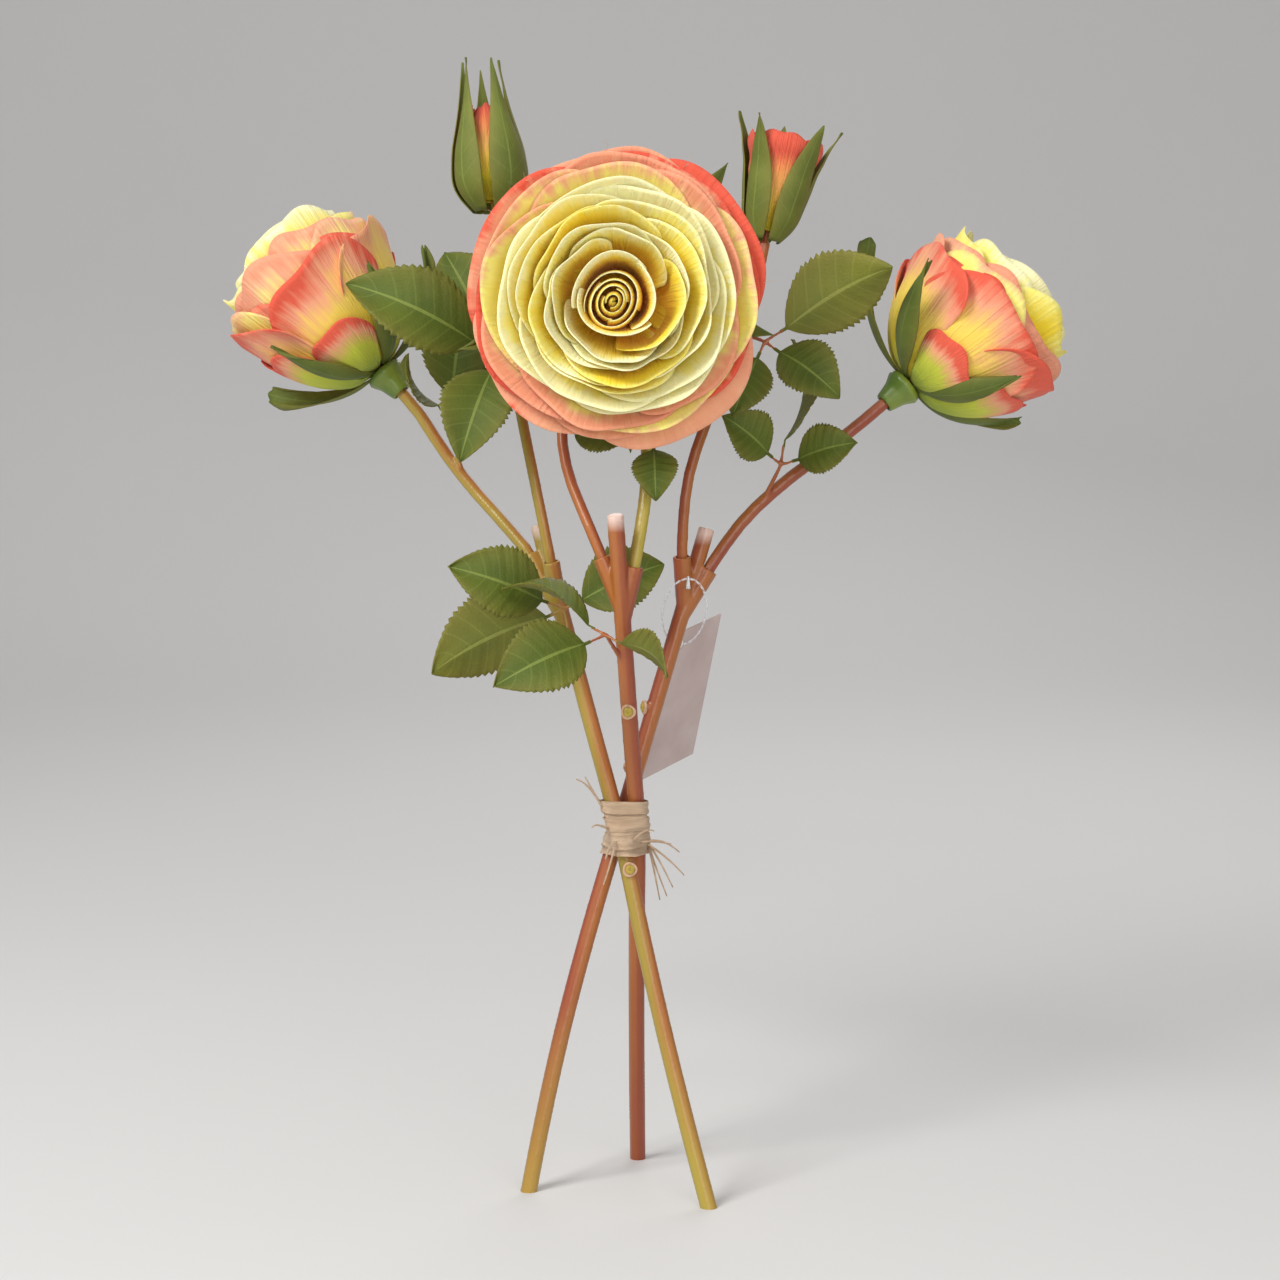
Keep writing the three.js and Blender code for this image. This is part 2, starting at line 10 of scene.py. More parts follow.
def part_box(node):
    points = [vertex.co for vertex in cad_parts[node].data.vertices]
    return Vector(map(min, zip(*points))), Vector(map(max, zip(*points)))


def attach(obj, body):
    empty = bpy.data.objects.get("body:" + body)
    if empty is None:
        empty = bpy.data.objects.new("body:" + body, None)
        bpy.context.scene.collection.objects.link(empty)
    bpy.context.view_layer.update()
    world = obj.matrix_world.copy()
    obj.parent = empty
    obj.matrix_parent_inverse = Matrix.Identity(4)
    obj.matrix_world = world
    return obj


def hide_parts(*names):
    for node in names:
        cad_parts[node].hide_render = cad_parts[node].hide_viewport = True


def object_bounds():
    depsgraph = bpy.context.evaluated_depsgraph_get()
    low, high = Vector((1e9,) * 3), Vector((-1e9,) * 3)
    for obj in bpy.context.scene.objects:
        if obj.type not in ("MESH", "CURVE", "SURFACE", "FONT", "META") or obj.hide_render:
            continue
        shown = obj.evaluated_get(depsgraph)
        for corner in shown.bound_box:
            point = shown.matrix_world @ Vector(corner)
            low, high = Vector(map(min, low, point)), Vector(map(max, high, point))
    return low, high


bl_info = {
    "name": "Bunch of Fabric Roses",
    "version": (1, 0, 0),
    "blender": (4, 5, 0),
    "location": "View3D > Sidebar > Roses",
    "description": "Builds petals, leaves, stems, raffia and a swing tag around the bunch's solid parts",
    "category": "Object",
}

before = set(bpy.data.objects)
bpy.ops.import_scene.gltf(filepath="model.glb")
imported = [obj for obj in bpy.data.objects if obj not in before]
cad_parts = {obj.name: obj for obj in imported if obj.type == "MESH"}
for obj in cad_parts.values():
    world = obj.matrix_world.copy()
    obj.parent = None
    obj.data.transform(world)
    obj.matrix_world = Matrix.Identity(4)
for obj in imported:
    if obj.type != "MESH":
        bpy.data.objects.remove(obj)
CAD_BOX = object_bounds()

MM = 0.001
SIDES = ("left", "middle", "right")
ROSE_WHORLS = {"left": 3, "middle": 5, "right": 3}
OUTER_WHORLS = 2  # of each rose, counted from the hip
SEPALS = 5
HIP_TO_PETALS = 1.7 * MM  # from the top of a hip to where the petals start
FRONT = Vector((0, -1, 0))
UP = Vector((0, 0, 1))

# Where things are on the solid parts

SCAR_REACH = 4 * MM  # across a leaf scar's flat end
SCAR_GAP = 6 * MM  # two scars on one stem are further apart than this
STEM_LOOK = 14 * MM  # how far below and above a height a stem's corners are looked at
BUNDLE_SKIN = 3.5 * MM  # from a stem's middle to the raffia's inner side
BUNDLE_GRIP = 3000  # how closely the raffia follows the outermost stem, for each metre

# Shapes of the sheets

PETAL_HUB = 1.6 * MM  # radius of the ring that a whorl's petals start from
PETAL_TILT = 1.5 * MM  # how far one side of a petal stands above the other, so that petals overlap
PETAL_WRAP = 4.7  # radians to each side of its middle that one layer's petals cover together
PETAL_BELLY = 2.0 * MM  # how far a petal's middle is pushed out
PETAL_PLEAT = 0.16 * MM
BASAL_LIFT = 2.6 * MM  # from a side rose's lowest whorl out to its two short petals
BOWL_PETALS = 3
BOWL_FALL = 3.0 * MM  # how far the sides of a bowl petal fall away from its top
BOWL_RIPPLE = 0.5 * MM
COILS = 7
COIL_TOP = 4.2 * MM  # from a heart's top down to its coil
COIL_FOOT = 13 * MM
COIL_FALL = 1.6 * MM
COIL_CLEAR = 0.2 * MM  # radius of the coil's open middle
BUD_BELLY = 0.7 * MM
BUD_TILT = 0.45 * MM
SEPAL_CLOTH = 0.4 * MM
SEPAL_RUFFLE = 0.8 * MM
LEAF_STALK = 2.6 * MM
LEAF_STALK_HALF = 0.55 * MM
LEAF_QUILT = 0.55 * MM
LEAF_WAVE = 1.1 * MM
LEAF_RIB = 0.35 * MM
TUBE_SIDES = 8
TUBE_TIP = 0.45  # a thread's radius at its tip, as a share of that at its foot
DYE_TURN = 6.3  # the turn, in radians, that one width of the dye's pattern takes up on a round piece

# The stage, in metres

CAMERA_TILT = math.radians(87)
FLOOR_HALF = 6.0
FLOOR_PROFILE = ((-FLOOR_HALF, 0.0), (1.2, 0.0), (1.7, 0.12), (2.0, 0.5), (2.1, 1.2), (2.1, 5.0))
LIGHTS = (  # name, place, width, power in watts
    ("key_light", (-0.8, -0.9, 1.15), 0.6, 18.0),
    ("fill_light", (0.35, -1.5, 0.5), 1.0, 9.0),
    ("back_light", (0.3, 1.2, 1.2), 1.0, 6.0),
)
SKY = (0.97, 0.97, 1.0, 1)
SKY_STRENGTH = 0.42


# Reading the solid parts

def corners(node):
    """The different corner points of a solid part, in metres."""
    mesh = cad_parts[node].data
    points = np.empty(len(mesh.vertices) * 3)
    mesh.vertices.foreach_get("co", points)
    return np.unique(points.reshape(-1, 3).round(6), axis=0)


def flower_matrix(origin, axis):
    """A flower's own frame: +Z along its axis and +X to the front, or up where it faces the front."""
    axis = Vector(axis).normalized()
    toward = FRONT if abs(axis.dot(FRONT)) < 0.9 else UP
    x = (toward - axis * toward.dot(axis)).normalized()
    place = Matrix((x, axis.cross(x), axis)).transposed().to_4x4()
    place.translation = Vector(origin)
    return place


def rose_matrix(side):
    """A rose's frame, which starts where its petals do and points from the hip to the heart."""
    hip = corners(f"rose_hip_{side}")
    heart = corners(f"petals_{side}_heart")
    centre = hip.mean(0)
    axis = heart.mean(0) - centre
    axis /= np.linalg.norm(axis)
    top = ((hip - centre) @ axis).max() + HIP_TO_PETALS
    return flower_matrix(centre + axis * top, axis)


def bud_matrix(side):
    """A bud's petals are a turned body, so its axis is the direction whose spread is unlike the others."""
    points = corners(f"bud_petals_{side}")
    centre = points.mean(0)
    spread, directions = np.linalg.eigh(np.cov((points - centre).T))
    odd = 0 if spread[1] - spread[0] > spread[2] - spread[1] else 2
    axis = directions[:, odd]
    axis = axis * np.sign(axis[2])
    base = ((corners(f"bud_calyx_{side}") - centre) @ axis).min()
    return flower_matrix(centre + axis * base, axis)


def seen_from(place, node):
    """Radius and height of a part's corners round a flower's axis."""
    inverse = np.array(place.inverted())
    local = corners(node) @ inverse[:3, :3].T + inverse[:3, 3]
    return np.hypot(local[:, 0], local[:, 1]), local[:, 2]


def moved(points, place):
    """Points of a flower's own frame, in the world."""
    m = np.array(place)
    return points @ m[:3, :3].T + m[:3, 3]


def scars_on(side):
    """The middle and direction of each leaf scar's flat end: the one place on a stem where many faces look
    straight out in one level direction."""
    level, same_way, enough = 0.004, 0.9998, 8
    faces = [(f.center.copy(), f.normal.copy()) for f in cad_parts[f"main_stem_{side}"].data.polygons
             if abs(f.normal.z) < level]
    found = []
    for centre, normal in faces:
        if any((centre - spot).length < SCAR_GAP for spot, _ in found):
            continue
        alike = [c for c, n in faces if (c - centre).length < SCAR_REACH and n.dot(normal) > same_way]
        if len(alike) < enough:
            continue
        outermost = max(c.dot(normal) for c in alike)
        cap = [c for c in alike if c.dot(normal) > outermost - 0.2 * MM]
        found.append((sum(cap, Vector()) / len(cap), normal))
    return found


def band_ends():
    """The raffia band's lowest and highest edge: the two heights that most of its corners share."""
    heights, counts = np.unique(corners("raffia_tie")[:, 2].round(4), return_counts=True)
    full = heights[counts > 0.6 * counts.max()]
    return full.min(), full.max()


def stem_centres(z):
    """Where each main stem's middle is at a height, from its corners a little below and above it."""
    found = []
    for side in SIDES:
        points = corners(f"main_stem_{side}")
        below = points[(points[:, 2] < z) & (points[:, 2] > z - STEM_LOOK)]
        above = points[(points[:, 2] >= z) & (points[:, 2] < z + STEM_LOOK)]
        low, high = below.mean(0), above.mean(0)
        share = (z - low[2]) / (high[2] - low[2])
        found.append((low + (high - low) * share)[:2])
    return np.array(found)


class Bundle:
    """The three stems between two heights, and how a strip that is pulled tight lies round them."""

    def __init__(self, low, high):
        self.heights = np.linspace(low, high, 9)
        self.centres = [stem_centres(z) for z in self.heights]

    def at(self, angle, z, out):
        near = self.centres[np.abs(self.heights - z).argmin()]
        direction = np.array((math.cos(angle), math.sin(angle)))
        dots = near @ direction
        weights = np.exp(BUNDLE_GRIP * (dots - dots.max()))
        middle = (near * weights[:, None]).sum(0) / weights.sum()
        return np.array((*(middle + direction * (BUNDLE_SKIN + out)), z))


class Cup:
    """A part of an ellipse that a whorl follows: its rim's radius, its height, its opening and its base."""

    def __init__(self, radius, height, opening, base):
        self.radius, self.height, self.opening, self.base = radius, height, opening, base

    @classmethod
    def of(cls, place, node):
        """The cup that lies closest to a whorl's corners."""
        r, z = seen_from(place, node)
        radius, base = r.max(), z.min()
        height = z[r > 0.97 * radius].mean() - base
        tries = [cls(radius, height, math.radians(a), base) for a in range(25, 90)]
        return min(tries, key=lambda cup: np.abs(cup.height_at(r) - z).sum())

    def height_at(self, r):
        turn = np.arcsin(np.clip(r / self.radius * math.sin(self.opening), -1, 1))
        return self.base + self.height * (1 - np.cos(turn)) / (1 - math.cos(self.opening))

    def at(self, out):
        """Radius, height and outward normal at a share of the way to the rim."""
        turn = self.opening * out
        r = self.radius * np.sin(turn) / math.sin(self.opening)
        z = self.base + self.height * (1 - np.cos(turn)) / (1 - math.cos(self.opening))
        dr = self.radius * np.cos(turn) / math.sin(self.opening)
        dz = self.height * np.sin(turn) / (1 - math.cos(self.opening))
        size = np.hypot(dr, dz)
        return r, z, dz / size, -dr / size

    def smaller(self, by, lift):
        """A cup of the same form with a narrower and higher rim."""
        share = (self.radius - by) / self.radius
        return Cup(self.radius * share, self.height + lift, self.opening, self.base)


# Sheets

def drift(rng):
    """A direction and size by chance, up to 1 along each axis."""
    return np.array([rng.uniform(-1, 1) for _ in range(3)])


class Sheets:
    """Gathers grids of points into one mesh. Each point has a mark for the dye: along, across and tint."""

    def __init__(self):
        self.points, self.marks, self.faces = [], [], []

    def add(self, grid, along, across, tint, closed=False, capped=False):
        rows, columns = grid.shape[:2]
        start = sum(len(p) for p in self.points)
        mark = np.stack(np.broadcast_arrays(along, across, np.full((rows, columns), tint)), -1)
        self.points.append(grid.reshape(-1, 3))
        self.marks.append(mark.reshape(-1, 3))
        for i in range(rows - 1):
            for j in range(columns - (0 if closed else 1)):
                k = (j + 1) % columns
                row, above = start + i * columns, start + (i + 1) * columns
                self.faces.append((row + j, row + k, above + k, above + j))
        if capped:
            last = start + (rows - 1) * columns
            self.faces.append(tuple(start + j for j in reversed(range(columns))))
            self.faces.append(tuple(last + j for j in range(columns)))

    def solid(self, name, place, materials):
        """The mesh as it stands, linked to the scene."""
        points = np.concatenate(self.points)
        if place is not None:
            points = moved(points, place)
        mesh = bpy.data.meshes.new(name)
        mesh.from_pydata(points.tolist(), [], self.faces)
        mark = mesh.attributes.new("dye", "FLOAT_VECTOR", "POINT")
        mark.data.foreach_set("vector", np.concatenate(self.marks).astype(np.float32).ravel())
        mesh.shade_smooth()
        made = bpy.data.objects.new(name, mesh)
        bpy.context.scene.collection.objects.link(made)
        for material in materials:
            mesh.materials.append(material)
        return made

    def piece(self, name, place, thickness, materials, levels=1):
        """The mesh as cloth: rounded, and given its thickness."""
        made = self.solid(name, place, materials)
        if levels:
            smooth = made.modifiers.new("smooth", "SUBSURF")
            smooth.levels = smooth.render_levels = levels
        cloth = made.modifiers.new("thickness", "SOLIDIFY")
        cloth.thickness = thickness
        cloth.offset = 0
        cloth.material_offset = len(materials) - 1
        return made


def settle(piece, slot, *nodes):
    """Tie a piece to the bunch and say which solid parts it replaces, which are hidden; the slot is not
    used.
    """
    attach(piece, "root")
    if nodes:
        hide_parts(*nodes)
    return piece


def tube(name, lines, radius, material, flat=1.0):
    """Tapering threads or flat strips along lists of points, as one mesh with closed ends."""
    upright, level = np.array((0.31, 0.22, 0.92)), np.array((0.9, 0.3, 0.1))
    turn = np.linspace(0, 2 * math.pi, TUBE_SIDES, endpoint=False)
    sheets = Sheets()
    for line in lines:
        along = np.gradient(np.array(line, float), axis=0)
        along /= np.linalg.norm(along, axis=1)[:, None]
        wide = np.cross(along, upright if abs(along[0][2]) < 0.8 else level)
        wide /= np.linalg.norm(wide, axis=1)[:, None]
        thin = np.cross(along, wide)
        ring = wide[:, None] * np.cos(turn)[:, None] + flat * thin[:, None] * np.sin(turn)[:, None]
        size = np.linspace(1, TUBE_TIP, len(line))[:, None, None] * radius
        share = np.linspace(0, 1, len(line))[:, None]
        grid = np.array(line)[:, None] + ring * size
        sheets.add(grid, share, turn[None] / DYE_TURN, 0.5, closed=True, capped=True)
    return sheets.solid(name, None, (material,))


# Finishes

WEAVE_PITCH = 0.45 * MM
WEAVE_DEPTH = 0.05 * MM
AGED_EDGE = (0.24, 0.18, 0.03)
PRINTED_VEINS = 7.0
FROSTED_TIP = (0.80, 0.60, 0.52)
SPECKLE = (0.22, 0.11, 0.04)
FOOT_FADE = 90 * MM  # the height at which a stem's paler foot begins


class Finish:
    """A material under construction."""

    def __init__(self, name, roughness, **uniform):
        self.material = bpy.data.materials.new(name)
        self.material.use_nodes = True
        self.tree = self.material.node_tree
        self.shader = self.tree.nodes["Principled BSDF"]
        self.shader.inputs["Roughness"].default_value = roughness
        for socket, value in uniform.items():
            self.shader.inputs[socket.replace("_", " ")].default_value = value

    def node(self, kind, inputs=(), **settings):
        made = self.tree.nodes.new("ShaderNode" + kind)
        for key, value in settings.items():
            setattr(made, key, value)
        for socket, value in dict(inputs).items():
            if isinstance(value, bpy.types.NodeSocket):
                self.tree.links.new(value, made.inputs[socket])
            else:
                made.inputs[socket].default_value = value
        return made

    def place(self):
        return self.node("TexCoord").outputs["Object"]

    def dye(self):
        mark = self.node("Attribute", attribute_name="dye").outputs["Vector"]
        return mark, self.node("SeparateXYZ", {"Vector": mark}).outputs

    def noise(self, vector, scale, detail=4.0, stretch=(1, 1, 1)):
        at = self.node("Mapping", {"Vector": vector, "Scale": stretch}).outputs[0]
        return self.node("TexNoise", {"Vector": at, "Scale": scale, "Detail": detail}).outputs["Fac"]

    def math(self, operation, a, b=0.0):
        return self.node("Math", {0: a, 1: b}, operation=operation).outputs[0]

    def swing(self, share, width):
        """A value that runs from 0 to 1, made to swing round 0."""
        return self.math("MULTIPLY", self.math("SUBTRACT", share, 0.5), width)

    def off_middle(self, across):
        """How far a value that runs from 0 to 1 is from its middle."""
        return self.math("ABSOLUTE", self.math("SUBTRACT", across, 0.5))

    def ramp(self, share, stops):
        """Colours in the order of their places, which run from 0 to 1."""
        made = self.node("ValToRGB", {"Fac": share})
        elements = made.color_ramp.elements
        for position, colour in stops[1:-1]:
            elements.new(position).color = (*colour, 1)
        for end in (0, -1):
            position, colour = stops[end]
            elements[end].position = position
            elements[end].color = (*colour, 1)
        return made.outputs["Color"]

    def mix(self, share, a, b):
        made = self.node("Mix", {0: share}, data_type="RGBA")
        for socket, value in ((6, a), (7, b)):
            if isinstance(value, bpy.types.NodeSocket):
                self.tree.links.new(value, made.inputs[socket])
            else:
                made.inputs[socket].default_value = (*value, 1)
        return made.outputs[2]

    def bump(self, height, depth, below=None):
        inputs = {"Height": height, "Strength": 1.0, "Distance": depth}
        if below is not None:
            inputs["Normal"] = below
        return self.node("Bump", inputs).outputs[0]

    def done(self, colour, normal=None):
        self.tree.links.new(colour, self.shader.inputs["Base Color"])
        if normal is not None:
            self.tree.links.new(normal, self.shader.inputs["Normal"])
        return self.material


def weave(finish, below):
    """Threads of plain cloth, as fine crossing ribs over the coarser relief below."""
    at = finish.place()
    heights = []
    for direction in ("X", "Z"):
        made = finish.node("TexWave", {"Vector": at, "Scale": 0.314 / WEAVE_PITCH, "Distortion": 1.5},
                           bands_direction=direction)
        heights.append(made.outputs["Fac"])
    return finish.bump(finish.math("MAXIMUM", *heights), WEAVE_DEPTH, below)


def petal_finish(name, stops, streak=0.12):
    """Dye that runs from the foot of a petal to its edge, blotched, streaked and finely pleated."""
    finish = Finish(name, 0.78, Sheen_Weight=0.08, Subsurface_Weight=0.12, Subsurface_Scale=0.002)
    mark, (along, _, tint) = finish.dye()
    patches = finish.noise(finish.place(), 42.0, 3.0)
    streaks = finish.noise(mark, 9.0, 5.0, (0.22, 3.0, 7.0))
    shift = finish.swing(streaks, streak * 1.6)
    blotch = finish.swing(patches, streak * 2.8)
    own = finish.swing(tint, 0.22)
    share = finish.math("ADD", finish.math("ADD", along, shift), finish.math("ADD", blotch, own))
    pleats = finish.noise(mark, 16.0, 3.0, (0.12, 3.5, 3.0))
    normal = finish.bump(pleats, 0.7 * MM)
    return finish.done(finish.ramp(share, stops), weave(finish, normal))


def leaf_finish(name, dark, light, rib):
    """Printed cloth with a pale rib and side veins, and a browner edge."""
    finish = Finish(name, 0.55, Specular_IOR_Level=0.3)
    mark, (along, across, _) = finish.dye()
    from_rib = finish.off_middle(across)
    patches = finish.noise(finish.place(), 70.0, 5.0)
    ground = finish.mix(finish.math("MULTIPLY", patches, 1.15), dark, light)
    edge = finish.math("POWER", from_rib, 2.0)
    aged = finish.mix(finish.math("MULTIPLY", edge, 1.6), ground, AGED_EDGE)
    middle = finish.math("LESS_THAN", from_rib, 0.022)
    colour = finish.mix(finish.math("MULTIPLY", middle, 0.8), aged, rib)
    slant = finish.math("MULTIPLY", from_rib, 1.8)
    steps = finish.math("MULTIPLY", along, PRINTED_VEINS)
    phase = finish.math("FRACT", finish.math("SUBTRACT", steps, slant))
    vein = finish.math("LESS_THAN", finish.off_middle(phase), 0.05)
    colour = finish.mix(finish.math("MULTIPLY", vein, 0.22), colour, rib)
    grain = finish.bump(finish.noise(mark, 40.0), 0.2 * MM)
    return finish.done(colour, weave(finish, grain))


def stem_finish(name, shade_side, lit_side, foot, top):
    """Moulded plastic with painted light round its girth: the side that faces +X gets the lit colour and
    the other side the shaded colour, blotched at random; with a paler foot and a frosted cut tip.
    """
    finish = Finish(name, 0.38, Specular_IOR_Level=0.5, Coat_Weight=0.12)
    at = finish.place()
    z = finish.node("SeparateXYZ", {"Vector": at}).outputs[2]
    # Painted light: which way the surface faces picks between the shaded and the lit colour.
    facing = finish.node("SeparateXYZ", {"Vector": finish.node("NewGeometry").outputs["Normal"]}).outputs[0]
    patches = finish.noise(at, 45.0, 5.0, (1.0, 1.0, 0.25))
    painted_light_and_patches = finish.math("ADD", finish.math("MULTIPLY", facing, 0.42), patches)
    colour = finish.ramp(painted_light_and_patches, [(0.25, shade_side), (0.75, lit_side)])
    low = finish.node("MapRange", {"Value": z, 1: FOOT_FADE, 2: 0.0}).outputs[0]
    colour = finish.mix(finish.math("MULTIPLY", low, 0.75), colour, foot)
    if top:
        tip = finish.node("MapRange", {"Value": z, 1: top - 7 * MM, 2: top - 3 * MM}).outputs[0]
        colour = finish.mix(finish.math("MULTIPLY", tip, 0.8), colour, FROSTED_TIP)
    speckle = finish.math("GREATER_THAN", finish.noise(at, 900.0, 2.0), 0.66)
    colour = finish.mix(finish.math("MULTIPLY", speckle, 0.25), colour, SPECKLE)
    ribs = finish.noise(at, 500.0, 3.0, (1.0, 1.0, 0.08))
    return finish.done(colour, finish.bump(ribs, 0.12 * MM))


def fibre_finish(name, pale, dark):
    """Dry fibres that run along a strip or thread."""
    finish = Finish(name, 0.8, Sheen_Weight=0.2)
    mark, _ = finish.dye()
    fibres = finish.noise(mark, 6.0, 6.0, (0.8, 14.0, 5.0))
    patches = finish.noise(finish.place(), 120.0, 4.0)
    share = finish.math("ADD", finish.math("MULTIPLY", fibres, 0.7), finish.math("MULTIPLY", patches, 0.4))
    return finish.done(finish.ramp(share, [(0.3, dark), (0.7, pale)]), finish.bump(fibres, 0.5 * MM))


def card_finish():
    """Plain uncoated white card, painted grey-pink as it looks in shade: painted shade, clouded at random.
    """
    finish = Finish("tag_card", 0.85)
    at = finish.place()
    cloud = finish.noise(at, 60.0, 5.0)
    # Painted shade: grey-pink tones stand in for the white card in shade.
    colour = finish.ramp(cloud, [(0.2, (0.46, 0.35, 0.33)), (0.8, (0.60, 0.50, 0.47))])
    return finish.done(colour, finish.bump(finish.noise(at, 2200.0, 4.0), 0.05 * MM))


def nylon_finish():
    """Clear nylon with a little haze."""
    finish = Finish("clear_nylon", 0.2, Transmission_Weight=0.35, IOR=1.5, Specular_IOR_Level=0.6)
    at = finish.place()
    haze = finish.noise(at, 300.0, 3.0)
    colour = finish.ramp(haze, [(0.2, (0.80, 0.83, 0.88)), (0.8, (0.95, 0.96, 0.98))])
    return finish.done(colour, finish.bump(haze, 0.03 * MM))


# Petals

def wave(rng, across, slow, fast):
    """A wave across a sheet, with its own pace and start."""
    return np.sin(rng.uniform(slow, fast) * across + rng.uniform(0, 6))


def petal_grid(cup, turn, spread, rng, ruffle, curl, notch=0.13, rows=17, columns=25, tip=None,
               offset=0.0):
    """One petal that follows a cup. It is cupped, its edge is creased, and the edge rolls outward."""
    u = np.linspace(0, 1, rows)[:, None]
    v = np.linspace(-1, 1, columns)[None, :]
    hub = PETAL_HUB / cup.radius
    peak = rng.uniform(-0.25, 0.25)
    reach = 1 - notch * np.abs(v - peak) ** 1.6 - 0.1 * np.abs(v) ** 7
    reach = reach + 0.022 * wave(rng, v, 5, 8)
    out = hub + (1 - hub) * u * reach * rng.uniform(0.96, 1.02)
    width = 0.32 + 0.68 * np.sin(0.5 * math.pi * np.clip(u / 0.75, 0, 1))
    if tip is not None:
        width = width * (1 - u ** tip)
    r, z, nr, nz = cup.at(out)
    crease = np.abs(wave(rng, v, 1.6, 2.6))
    waves = 1.3 * crease + 0.5 * wave(rng, v, 8, 12)
    push = ruffle * u ** 4 * waves + PETAL_TILT * v * u
    push = push + PETAL_BELLY * (1 - v ** 2) * np.sin(math.pi * u) * rng.uniform(0.7, 1.2)
    pleats = np.sin(rng.uniform(22, 30) * v + 2.0 * np.sin(3 * v + rng.uniform(0, 6)))
    push = push + PETAL_PLEAT * pleats * u * (1 - 0.5 * u)
    edge = np.clip((u - 0.8) / 0.2, 0, 1) ** 2 if tip is None else u ** 2.5
    push = push + curl * edge * (0.75 + 0.5 * np.sin(2.1 * v + rng.uniform(0, 6)))
    push = push + offset * np.clip(u / 0.25, 0, 1)
    r = r + nr * push
    z = z + nz * push
    angle = turn + v * spread * width
    grid = np.stack((r * np.cos(angle), r * np.sin(angle), z * np.ones_like(angle)), -1)
    return grid, u * np.ones_like(v), 0.5 + 0.5 * v * np.ones_like(u)


def whorl_piece(side, level, place, settings, material):
    """Two layers of broad overlapping petals in place of one whorl."""
    rng = random.Random(f"{side} whorl {level}")
    node = f"petals_{side}_{level + 1}"
    cup = Cup.of(place, node)
    sheets = Sheets()
    outer = level < OUTER_WHORLS
    count = 5 if outer else 4
    for layer in range(2):
        ring = cup.smaller(layer * settings.step, layer * MM)
        for n in range(count):
            turn = 2 * math.pi * (n + 0.5 * layer) / count + 0.9 * level + rng.uniform(-0.2, 0.2)
            curl = settings.curl * (1.5 if level == 0 and layer == 0 else 0.6)
            grid = petal_grid(ring, turn, PETAL_WRAP / count, rng, settings.ruffle, curl)
            sheets.add(*grid, rng.random())
    made = sheets.piece(f"rose_petals_{side}_{level + 1}", place, settings.cloth, (material,))
    return settle(made, "petal_outer" if outer else "petal_inner", node)


def basal_piece(side, place, settings, material):
    """Two short petals low on the outside of a side rose, towards the front and its lower side."""
    rng = random.Random(f"{side} basal")
    cup = Cup.of(place, f"petals_{side}_1")
    down = 1 if side == "right" else -1
    sheets = Sheets()
    rows = 33
    for turn, reach in ((0.15 * down, 0.62), (1.25 * down, 0.78)):
        grid, along, across = petal_grid(cup, turn, 0.6, rng, settings.ruffle, settings.curl, rows=rows,
                                         offset=BASAL_LIFT)
        keep = round(reach * (rows - 1)) + 1
        sheets.add(grid[:keep], along[:keep] / along[keep - 1], across[:keep], rng.random())
    return settle(sheets.piece(f"basal_petals_{side}", place, settings.cloth, (material,)), "petal_outer")


def heart_piece(side, place, settings, material):
    """An open bowl of petals, and in it, off its middle, a coil whose petals close one over the next."""
    rng = random.Random(f"{side} heart")
    node = f"petals_{side}_heart"
    r, z = seen_from(place, node)
    radius, low, high = r.max(), z.min() + 2 * MM, z.max()
    sheets = Sheets()
    u = np.linspace(0, 1, 14)[:, None]
    v = np.linspace(-1, 1, 49)[None, :]
    flat = np.ones_like(u * v)
    for n in range(BOWL_PETALS):
        angle = 2.2 * n + 0.5 + v * 1.35
        open_out = (0.66 + 0.31 * u ** 1.5 + 0.04 * np.clip((u - 0.85) / 0.15, 0, 1) ** 2) * (1 - 0.05 * n)
        ring = radius * open_out * (1 + 0.05 * v + 0.04 * np.cos(3 * angle))
        ripple = BOWL_RIPPLE * np.sin(4 * v + rng.uniform(0, 6))
        top = high - MM * n - BOWL_FALL * np.abs(v) ** 3 + ripple
        height = low + (top - low) * u
        grid = np.stack((ring * np.cos(angle), ring * np.sin(angle), height * flat), -1)
        sheets.add(grid, u * flat, (0.5 + 0.5 * v) * flat, 0.6)
    sizes = [0.70 * radius * (1 - n / COILS) ** 0.9 + COIL_CLEAR for n in range(COILS + 1)]
    centre = (-0.13 * radius, 0.10 * radius)
    for n in range(COILS):
        angle = 2.4 * n + rng.uniform(-0.3, 0.3) + v * (1.9 + 0.15 * n)
        close = sizes[n] + (1.03 * sizes[n + 1] - sizes[n]) * u ** 1.6
        ring = close * (1 + 0.09 * v * u + 0.08 * np.cos(2 * angle + 0.9))
        top = high - COIL_TOP + 0.35 * MM * n - COIL_FALL * np.abs(v) ** 3
        bottom = high - COIL_FOOT + 0.6 * MM * n
        height = bottom + (top - bottom) * np.sin(0.5 * math.pi * u)
        x, y = ring * np.cos(angle) + centre[0], ring * np.sin(angle) + centre[1]
        grid = np.stack((x, y, height * flat), -1)
        sheets.add(grid, (0.35 + 0.65 * u) * flat, (0.5 + 0.5 * v) * flat, 0.75 - 0.09 * n)
    made = sheets.piece(f"rose_heart_{side}", place, settings.cloth, (material,))
    return settle(made, "petal_inner", node)


def calyx_piece(side, place, material):
    """Five narrow sepals of different lengths, each curled its own way."""
    rng = random.Random(f"{side} calyx")
    node = f"rose_calyx_{side}"
    cup = Cup.of(place, node)
    sheets = Sheets()
    for n in range(SEPALS):
        turn = 2 * math.pi * (n + 0.5) / SEPALS + rng.uniform(-0.2, 0.2)
        own = cup.smaller(rng.uniform(0, 0.25) * cup.radius, 0)
        curl = rng.uniform(-1.5, 6.0) * MM
        grid = petal_grid(own, turn, 0.44, rng, SEPAL_RUFFLE, curl, notch=0.0, rows=19, columns=9, tip=1.5)
        sheets.add(*grid, rng.random())
    return settle(sheets.piece(f"rose_sepals_{side}", place, SEPAL_CLOTH, (material,)), "calyx", node)


# Buds

